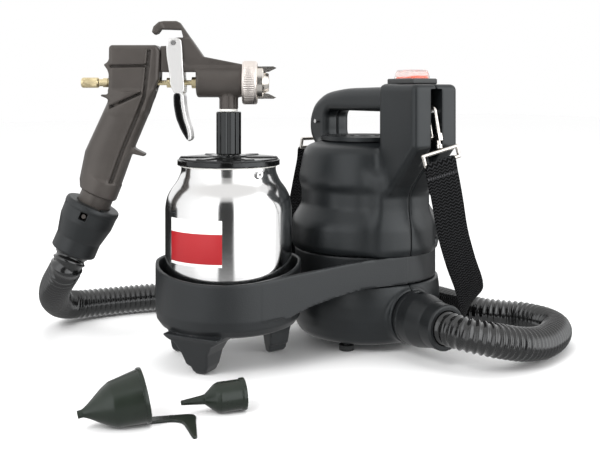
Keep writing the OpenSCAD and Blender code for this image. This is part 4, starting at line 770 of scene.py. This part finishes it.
def gun_body(x, y, z):
    """Bridge and barrel with soft edges, an upright rib, nose and stem boss, less the needle's and paint's ways."""
    thin = np.interp(z, [36.6, 38.8], [8.0, 5.5])
    rib = np.interp(x + 0.55 * z, [-30.5, -27.5], [0.0, -1.1]) * np.interp(z, [12, 15], [0, 1])
    f = meet(BRIDGE(x, z), np.abs(y) - thin - rib, 1.8)
    r = np.hypot(y, z)
    f = join(f, meet(r - 12.5, slab(x, -27, 11.5), 2.4), 1.6)
    f = join(f, meet(r - 11.6, slab(x, 0, 19), 0.8), 0.5)
    stem = np.hypot(x, y)
    f = join(f, meet(stem - 8 + 0.7 * (np.cos(8 * np.arctan2(y, x)) > 0.7), slab(z, -22.3, 0), 0.5), 1.4)
    bores = either(r - 3.15, inside(r - 5, -14 - x), inside(r - 9.05, 13 - x), inside(stem - 4.1, z + 6))
    return cut(f, either(bores, np.hypot(x - PIN_X, z - PIN_Z) - 2.1), 0.5)


moulded("gun_body_casting", gun_body, (-67, -14, -24), (21, 14, 54), 0.7, gun_black, "gun", ["gun_body"], at=GUN,
        crease=42)

# %% [markdown]
# ## Trigger
# The trigger is bent from steel sheet. Two cheeks hang from a pin on either side of the bridge, and they meet
# below in a curved finger. A bar between the cheeks pulls the needle. The finger is a folded sheet, and its
# hollow is filled by a black solid that is painted shade: it stands for the shadow inside the fold.

# %% Trigger
CHEEK = outline(rounded([(-50, 36), (-48, 37.4), (-42, 37.4), (-39.2, 36), (-38.6, 30), (-37.2, 4), (-36.5, -2),
                         (-37, -9), (-45, -9), (-48.6, -2), (-49, 6), (-51.5, 22), (-52, 30)], 2))
FINGER = outline(rounded([(-46, -8.6), (-37, -8.6), (-36.4, -19), (-34.4, -30), (-31, -40.3), (-30.2, -47),
                          (-31.8, -49.7), (-34.6, -48.4), (-39.5, -40.3), (-43.8, -30), (-45.8, -19)], 3))


def trigger(x, y, z):
    """Cheeks, finger and bar as sheet with folded edges, less the finger's hollow and the pin's hole."""
    cheeks = meet(CHEEK(x, z), slab(np.abs(y), 8.3, 9.8), 0.8)
    finger = meet(FINGER(x, z), np.abs(y) - 9.8, 1.4)
    f = join(cheeks, cut(finger, inside(FINGER(x + 3.0, z), z + 8.6), 0.5), 0.8)
    f = either(f, inside(slab(x, -48.6, -46.6), slab(z, 3.2, 6.6), np.abs(y) - 9))
    return cut(f, np.hypot(x - PIN_X, z - PIN_Z) - 2.05, 0.3)


def finger_hollow_shade(x, y, z):
    """Painted shade: a black solid in the finger's hollow, 0.1 mm short of its sheet, for the shadow in the fold."""
    return meet(inside(FINGER(x + 3.1, z), FINGER(x, z) + 0.15), inside(np.abs(y) - 9.5, z + 8.8), 0.8)


moulded("trigger_lever", trigger, (-54, -11.5, -52), (-28, 11.5, 39), 0.6, trigger_steel, "trigger", ["trigger"],
        at=GUN, crease=42)
# Painted shade: a black solid in the finger's hollow, standing for the shadow inside the fold.
moulded("trigger_finger_hollow_shade", finger_hollow_shade, (-50, -11, -51), (-30, 11, -7), 0.6, nut_black, "trigger", ["trigger"],
        at=GUN, crease=42)

# %% [markdown]
# ## Turned pieces of the gun
# The cap ring is knurled on its rim, so its radius follows a fine wave on the rim only. The flow knob is a
# small brass rod with flutes.

# %% Cap ring and flow knob
ALONG = np.array([[0.0, 0, 1, 0], [0, 1, 0, 0], [-1, 0, 0, 0], [0, 0, 0, 1]])  # lays the z axis along x
ring_profile = rounded([(12, 0), (17.6, 0), (18.5, 0.9), (18.5, 11.4), (17.4, 12.5), (14.1, 12.5), (14.1, 10.6),
                        (15.2, 10.6), (15.2, 4.6), (12, 4.6)], 0.5, 4)
ring_profile = np.insert(ring_profile, 12, [(18.5, z) for z in (1.9, 2.1, 6.0, 10.2, 10.4)], axis=0)


def grooves(count, depth, lo, hi):
    """A wave for lathe: -depth (1 + cos(count a)) / 2 for lo < z < hi, and 0 elsewhere."""
    return lambda a, z: -depth * (0.5 + 0.5 * np.cos(count * a)) * ((z > lo) & (z < hi))


piece("knurled_cap_ring", *lathe(ring_profile, 720, grooves(60, 0.35, 2.0, 10.3)), satin_nickel, "cap_ring",
      ["cap_ring"], at=GUN @ move(11.8, 0, 0) @ ALONG, crease=50)
knob_profile = rounded([(0, 0), (3.6, 0), (4.4, 1), (4.4, 14), (3.8, 14.7), (0, 14.7)], 0.5, 4)
knob_profile = np.insert(knob_profile, 12, [(4.4, z) for z in (1.9, 2.1, 9.0, 13.0, 13.2)], axis=0)
piece("brass_flow_knob", *lathe(knob_profile, 192, grooves(24, 0.3, 2, 13.1)), pale_brass, "flow_knob",
      ["flow_knob"], at=GUN @ move(-125, 0, 0) @ ALONG, crease=45)

# %% [markdown]
# ## Paint cup
# The cup is drawn from aluminium sheet: one profile with an inner and an outer line, turned round the axis. The
# lid, the stem nut and the label follow the same axis.

# %% Cup and lid
OUTER = rounded([(0, 35.3), (49.5, 35.3), (53.5, 39.3), (53.5, 131), (52.1, 139), (48.7, 145.6), (43.5, 152.4),
                 (40.6, 159), (40, 162), (40, 164.8)], 3.0, 6, closed=False)[3:]
INNER = rounded([(38.5, 164.8), (38.5, 162), (39.1, 159), (42.2, 151.8), (47.4, 145), (50.6, 138.4), (52, 131),
                 (52, 40), (48.9, 36.8), (0, 36.8)], 3.0, 6, closed=False)[:-3]
OUTER[0, 0] = INNER[-1, 0] = 0
cup_skin = np.vstack([OUTER, [(39.2, 165.1)], INNER])
piece("aluminium_paint_cup", *lathe(cup_skin, 192), cup_aluminium, "paint_cup", ["cup"], at=CUP, crease=60)


def lid(x, y, z):
    """Domed lid with a rim, a boss and three ribs right through its middle, and a plug with a recess below."""
    r = np.hypot(x, y)
    f = meet(inside(r - 43.3, slab(z, 166, 170.5)), (r - 41.8 + (z - 172)) * 0.7, 0.8)
    f = join(f, inside(r - 41.8, slab(z, 166.5, 172)), 0.8)
    f = join(f, inside(r - 15, slab(z, 168, 174)), 1.2)
    for a in np.radians(GUN_YAW + np.array([0, 60, 120])):
        f = join(f, inside(np.abs(y * np.cos(a) - x * np.sin(a)) - 4, r - 41, slab(z, 170, 173)), 0.8)
    f = join(f, inside(r - 38.1, slab(z, 162.8, 167)), 0.5)
    return cut(cut(f, inside(r - 35.5, z - 166), 0.5), r - 4.1, 0.4)


moulded("black_cup_lid", lid, (-45, -45, 161), (45, 45, 176), 0.75, nut_black, "gun", ["cup_lid"], at=CUP, crease=40)


# %% Stem nut and label
def nut(x, y, z):
    """Eight-sided bar with a flute in each flat."""
    a = np.arctan2(y, x)
    step, r = np.pi / 4, np.hypot(x, y)
    b = (a - np.radians(GUN_YAW)) % step - step / 2
    f = meet(r * np.cos(b) - 10.5, slab(z, 174.3, 210.8), 1.0)
    for k in range(8):
        c = np.radians(GUN_YAW) + k * step
        f = cut(f, np.hypot(x - 11.6 * np.cos(c), y - 11.6 * np.sin(c)) - 2.1, 0.8)
    return cut(f, r - 4.2, 0.4)


moulded("fluted_stem_nut", nut, (-12.5, -12.5, 173), (12.5, 12.5, 212.5), 0.55, nut_black, "stem_nut",
        ["stem_nut"], at=CUP, crease=40)
label = rounded([(53.56, LABEL_FOOT), (53.56, LABEL_TOP), (53.95, LABEL_TOP), (53.95, LABEL_FOOT)], 0.15, 3)
a = np.radians(-176.5 + np.linspace(0, 54, 40))
points = np.stack([label[:, :1] * np.cos(a), label[:, :1] * np.sin(a), label[:, 1:] + 0 * a], -1)
rim = np.arange(len(label))[None] * len(a)
faces = [grid_faces(len(label), len(a), ring_rows=True, ring_cols=False), rim, rim[:, ::-1] + len(a) - 1]
piece("plain_cup_label", points.reshape(-1, 3), faces, plate, "paint_cup", ["cup_label"], at=CUP, crease=30)

# %% [markdown]
# ## Switch
# A rocker sits in a bezel on top of the block, under a clear dust boot. The boot is a thin shell, so it is the
# space between a soft box and the same box drawn in by its wall.

# %% Switch
SWITCH = BLOWER @ move(0, -70, 236)
ROCKER = outline([(-11.5, 0), (-12.5, 3.4), (-11.5, 5.6), (0, 4.2), (11.5, 4.6), (12.5, 2.2), (11.5, 0), (3, -1),
                  (-3, -1)], soft=0.7)


def soft_box(x, y, z, half, centre, r):
    """Distance to a box with all its edges rounded to radius r."""
    d = [np.abs(p - c) - h + r for p, c, h in zip((x, y, z), centre, half)]
    return np.sqrt(sum(np.maximum(q, 0) ** 2 for q in d)) + np.minimum(inside(*d), 0) - r


def boot(x, y, z):
    """Tapered clear shell, 0.8 mm thick and open below."""
    s = 1 + 0.016 * (z - 3)
    box = soft_box(x * s, y * s, z, (9.85, 14.1, 6.5), (0, 0, 4.1), 2.6)
    return meet(np.abs(box + 0.4) - 0.4, 3.1 - z, 0.2)


def bezel(x, y, z):
    """Soft frame with a well for the rocker."""
    frame_box = soft_box(x, y, z, (13.5, 18, 2.5), (0, 0, 0.55), 1.2)
    return cut(frame_box, inside(np.abs(x) - 8.9, np.abs(y) - 13.2, -5 - z), 0.5)


moulded("orange_switch_rocker", lambda x, y, z: meet(ROCKER(y, z), np.abs(x) - 8.25, 1.2), (-9.5, -14, -2),
        (9.5, 14, 7), 0.5, orange_rocker, "rocker", ["switch_rocker"], at=SWITCH)
moulded("clear_switch_boot", boot, (-11, -15.5, 2), (11, 15.5, 12), 0.42, boot_clear, "blower", ["switch_boot"],
        at=SWITCH, crease=60)
moulded("black_switch_bezel", bezel, (-15, -19.5, -3), (15, 19.5, 4.5), 0.6, switch_black, "blower",
        ["switch_bezel"], at=SWITCH)

# %% [markdown]
# ## Carrying strap
# The strap is a ribbon with a direction of its own at each point, because it twists from the front loop down to
# the floor and up again behind. The table gives a point of its middle and the direction of its width. At each
# end it goes over the wire of its loop and is sewn down on itself.

# %% Strap
STRAP = np.array([
    (0, -107.6, 166.8, .93, -.3, .19), (4, -106, 157, .9, -.4, .17), (15, -99, 135, .86, -.48, .15),
    (28, -91, 106, .86, -.46, .17), (45, -82, 78, .85, -.45, .2), (63, -73, 53, .8, -.42, .35),
    (77, -60, 34, .62, -.25, .74), (88, -38, 20, .15, -.05, .99), (93, -10, 15.5, 0, 0, 1), (92, 20, 15.5, 0, 0, 1),
    (82, 50, 15.5, 0, 0, 1), (64, 76, 15.5, .03, .02, 1), (42, 94, 16.5, .2, .1, .97), (20, 105, 22, .6, .1, .8),
    (4, 112, 38, .93, .05, .35), (-4, 115, 62, 1, 0, .05), (-5, 113, 95, 1, 0, 0), (-3, 106, 128, 1, 0, 0),
    (-1, 99, 156, 1, 0, 0), (0, 96.5, 166, 1, 0, 0)], float)
fine = np.hstack([smooth_path(STRAP[:, :3], 24), smooth_path(STRAP[:, 3:], 24)])
where = lengths(fine[:, :3])
at = np.linspace(0, where[-1], 260)
fine = np.stack([np.interp(at, where, fine[:, k]) for k in range(6)], 1)
middle, along = fine[:, :3], unit(np.gradient(fine[:, :3], axis=0))
width = unit(fine[:, 3:] - (fine[:, 3:] * along).sum(1, keepdims=True) * along)


FLAP, WIRE_R = 27, 2.5


def end_fold(p, w, s):
    """From a strap's end backwards: over the wire, then down on its inner side. s is the length from the end."""
    up = unit(p[0] - p[1])
    out = unit(np.cross(w[0], up))
    out *= np.sign(out[1] * p[0, 1])
    lifted = p + out * WIRE_R * np.clip(1 - s / 12, 0, 1)[:, None] ** 2
    a = np.linspace(0, np.pi, 14)[1:-1, None]
    arc = p[0] + 1.6 * up + WIRE_R * (np.cos(a) * out + np.sin(a) * up)
    n = int(np.searchsorted(s, FLAP))
    flap = p[:n] - out * (1.75 + 0.75 * np.clip(1 - s[:n] / 12, 0, 1))[:, None]
    return lifted, np.vstack([arc, flap]), np.vstack([np.repeat(w[:1], 12, 0), w[:n]])


front, front_fold, front_width = end_fold(middle, width, at)
rear, rear_fold, rear_width = end_fold(front[::-1], width[::-1], at)
middle = np.vstack([front_fold[::-1], rear[::-1], rear_fold])
width = np.vstack([front_width[::-1], width, rear_width])
along = unit(np.gradient(middle, axis=0))
width = unit(width - (width * along).sum(1, keepdims=True) * along)
over = np.cross(along, width)
half, thick = 13.5, 0.78  # half the width and half the thickness
across = half * np.sin(np.linspace(-np.pi / 2, np.pi / 2, 17))
rib = thick * (1 - np.abs(across / half) ** 12)
loop_u, loop_v = np.concatenate([across, across[::-1][1:-1]]), np.concatenate([rib, -rib[::-1][1:-1]])
points = middle[:, None] + loop_u[None, :, None] * width[:, None] + loop_v[None, :, None] * over[:, None]
length = lengths(middle)
uv = np.stack([np.repeat(length[:, None], len(loop_u), 1), np.repeat(loop_u[None] + half, len(middle), 0)], -1)
ring = np.arange(len(loop_u))
faces = [grid_faces(len(middle), len(loop_u)), ring[None, ::-1], ring[None] + (len(middle) - 1) * len(loop_u)]
piece("woven_strap", points.reshape(-1, 3), faces, black_webbing, "blower", ["strap"], weld=False, crease=60,
      uv=uv.reshape(-1, 2))
print("strap length:", round(length[-1], 1), "mm")


# %% Strap adjuster
def slider(x, y, z):
    """Two-slot slider with soft edges."""
    f = soft_box(x, y - 0.2, z - 2.7, (10, 15.2, 2.7), (0, 0, 0), 1.0)
    slots, wide = either(slab(x, -8, -2), slab(x, 2, 8)), np.abs(y - 0.15) - 13.95
    return cut(cut(f, inside(slots, wide), 0.5), inside(slab(z, 1.2, 4.2), wide), 0.3)


moulded("strap_slider", slider, (-11, -16, -1), (11, 17, 6.5), 0.55, buckle_black, "blower", ["strap_adjuster"],
        at=BLOWER @ move(88.1, 35.2, 15.5) @ turn("z", 108.3) @ turn("x", 90) @ move(0, 0, -2.7))

# %% [markdown]
# ## Accessories
# A viscosity cup with its flat hooked handle and a blow nozzle lie on the floor in front. The cup and the nozzle
# are turned profiles. The nozzle's small side hole is cut through its field.

# %% Accessories
CUP_TIP = BLOWER @ move(-300, -88, 10.99) @ turn("z", -11.5) @ turn("y", 79.8)
NOZZLE = BLOWER @ move(-230, -99.8, 9.6) @ turn("z", -13.7) @ turn("y", 87.7)
cup_wall = rounded([(1.6, 0), (2.7, 0), (2.7, 3.5), (5, 7.5), (12.5, 18), (15.4, 23.5), (18.2, 43.5), (19, 43.5),
                    (19, 46.5), (17, 46.5), (16.4, 43.5), (13.8, 24), (11.4, 19.4), (3.6, 8), (1.6, 4)], 1.2, 4)
points, faces = lathe(cup_wall, 120)
strip = outline(rounded([(-254, -91.5), (-248, -93.2), (-226.5, -100.8), (-222.2, -103.5), (-222, -108),
                         (-225.2, -114.2), (-236.9, -141.8), (-239.7, -141), (-234.6, -115), (-235.6, -109.5),
                         (-240, -105.8), (-256, -101.5)], 2.5))
strip_points, strip_faces = mould(lambda x, y, z: meet(strip(x, y), slab(z, 0.05, 1.8), 0.7), (-258, -144, -1),
                                  (-220, -90, 3), 0.6)
whole = np.vstack([put(points, CUP_TIP), put(strip_points, BLOWER)])
piece("viscosity_cup", whole, [faces, strip_faces + len(points)], olive_black, "viscosity_cup", ["viscosity_cup"],
      at=np.eye(4), crease=42)
NOZZLE_WALL = outline([(0.9, 0), (1.6, 0), (3.2, 15), (3.6, 17), (9.3, 24), (10.5, 27), (10.5, 42.5), (11.3, 43),
                       (11.3, 46), (9.3, 46), (9.3, 27.5), (2.2, 17.5), (0.9, 8)], soft=0.3)


def nozzle(x, y, z):
    """Turned nozzle with one small hole through its wall."""
    a = np.radians(150)
    off, out = y * np.cos(a) - x * np.sin(a), x * np.cos(a) + y * np.sin(a)
    return cut(NOZZLE_WALL(np.hypot(x, y), z), inside(np.hypot(off, z - 38) - 1.2, -out), 0.3)


moulded("blow_nozzle", nozzle, (-12, -12, -1), (12, 12, 47), 0.5, olive_black, "blow_nozzle", ["blow_nozzle"],
        at=NOZZLE, crease=42)

# %% [markdown]
# ## Finishes for the other solids
# Springs, hooks, screws, the motor and the other inner pieces keep their own solids. Each takes the finish of
# the slot that its record names.

# %% Finishes by slot
BY_SLOT = dict(housing_plastic=housing_black, holder_plastic=holder_black, gun_plastic=gun_black, gun_alloy=gun_black,
               hose_plastic=hose_black, webbing=black_webbing, buckle_plastic=buckle_black, switch_black=switch_black,
               rocker_orange=orange_rocker, clear_boot=boot_clear, foot_rubber=rubber_black,
               gland_rubber=rubber_black, polished_cup=cup_aluminium, nickel=nickel, steel=steel, brass=pale_brass,
               motor_iron=iron, fan_alloy=cast_alloy, filter_felt=filter_felt, carbon=carbon_black,
               seal_white=seal_white, label_red=plate, accessory_plastic=olive_black)
for node, slot_name in slot_of.items():
    for material_slot in nodes[node].material_slots:
        material_slot.material = BY_SLOT[slot_name]
print("solids with a finish:", len(slot_of))

# %% [markdown]
# ## Studio
# The object stands on a pale floor under soft light. The surroundings are plain white for the camera. What
# shines sees a studio instead: bright walls at the sides, a bright card to the right of the camera and a narrow
# dark gap behind the camera. The gap gives the polished cup the dark stripe down its middle. Behind the object
# the wall is bright, and below the horizon it is dark there, which gives the cup its dark edges.


# %% Surroundings
TO_CAMERA, TO_CARD = (-0.5225, -0.8526, 0), (0.523, -0.853, 0)
ROUND_THE_STUDIO = [(0.0, 0.02), (0.22, 0.02), (0.27, 0.9), (0.72, 1.15), (0.85, 1.7), (0.982, 1.8), (0.987, 0.05),
                    (1.0, 0.05)]  # brightness from behind the object, at 0, to behind the camera, at 1


def surroundings():
    """White for camera and clear pieces, soft grey for matt pieces, and a studio with dark gaps for shiny ones."""
    scene.world = bpy.data.worlds.new("studio")
    scene.world.use_nodes = True
    t = scene.world.node_tree
    t.nodes.clear()
    d = add(t, "SeparateXYZ", {0: add(t, "TexCoord").outputs["Generated"]}).outputs
    level = add(t, "VectorMath", {0: add(t, "CombineXYZ", {0: d[0], 1: d[1]})}, operation="NORMALIZE")
    toward, facing = (add(t, "VectorMath", {0: level, 1: v}, operation="DOT_PRODUCT").outputs["Value"]
                      for v in (TO_CAMERA, TO_CARD))
    around = add(t, "ValToRGB", {0: math(t, "MULTIPLY_ADD", toward, 0.5, 0.5)})
    stops = around.color_ramp.elements
    stops[0].position, stops[1].position = 0.0, 1.0
    for position, _ in ROUND_THE_STUDIO[1:-1]:
        stops.new(position)
    for element, (_, value) in zip(stops, ROUND_THE_STUDIO):
        element.color = (value, value, value, 1)
    card = mixed(t, ranged(t, facing, 0.82, 0.94), around, (2.6, 2.6, 2.6, 1))
    behind = math(t, "MULTIPLY", ranged(t, d[2], 0.0, 0.06), ranged(t, toward, 0.5, 0.2))
    wall = mixed(t, behind, card, (1, 1, 1, 1), blend_type="LIGHTEN")
    roof = mixed(t, ranged(t, d[2], 0.55, 0.8), wall, (0.9, 0.89, 0.88, 1))
    ground = mixed(t, ranged(t, d[2], -0.2, -0.27), roof, (0.5, 0.5, 0.5, 1))
    ray = add(t, "LightPath").outputs
    shiny = mixed(t, ray["Is Glossy Ray"], (1.06, 1.06, 1.06, 1), ground)
    through = math(t, "MAXIMUM", ray["Is Camera Ray"], ray["Is Transmission Ray"])
    add(t, "OutputWorld", {0: add(t, "Background", {0: mixed(t, through, shiny, (1, 1, 1, 1))})})


surroundings()

# %% Floor and lights
floor_mesh = bpy.data.meshes.new("floor")
floor_mesh.from_pydata([(x, y, 0) for x, y in ((-6, -6), (6, -6), (6, 6), (-6, 6))], [], [(0, 1, 2, 3)])
floor = bpy.data.objects.new("floor", floor_mesh)
scene.collection.objects.link(floor)
floor.location.z = -0.0002
floor.visible_glossy = False
pale_floor = plastic("pale_floor", (0.93, 0.93, 0.93), 0.9, 300, 0.0, 0.0, Specular_IOR_Level=0.0)
floor_mesh.materials.append(pale_floor)


def soft_light(name, place, target, size, watts):
    """A square area light at a place, turned to its target and not mirrored in what shines."""
    lamp = bpy.data.lights.new(name, "AREA")
    lamp.size, lamp.energy = size, watts
    obj = bpy.data.objects.new(name, lamp)
    scene.collection.objects.link(obj)
    obj.location, obj.visible_glossy = place, False
    d = np.array(target, float) - place
    obj.rotation_euler = (np.arccos(-d[2] / np.linalg.norm(d)), 0, np.arctan2(d[1], d[0]) - np.pi / 2)
    return obj


lights = [soft_light("key_light", (-1.3, -0.6, 1.2), (0, 0, 0.12), 0.7, 20.0),
          soft_light("top_light", (0.1, 0.0, 1.7), (0, 0, 0.1), 1.2, 8.0),
          soft_light("right_fill", (0.9, -1.2, 0.7), (0.05, 0, 0.12), 0.8, 5.0)]
scene.view_settings.view_transform = "Standard"
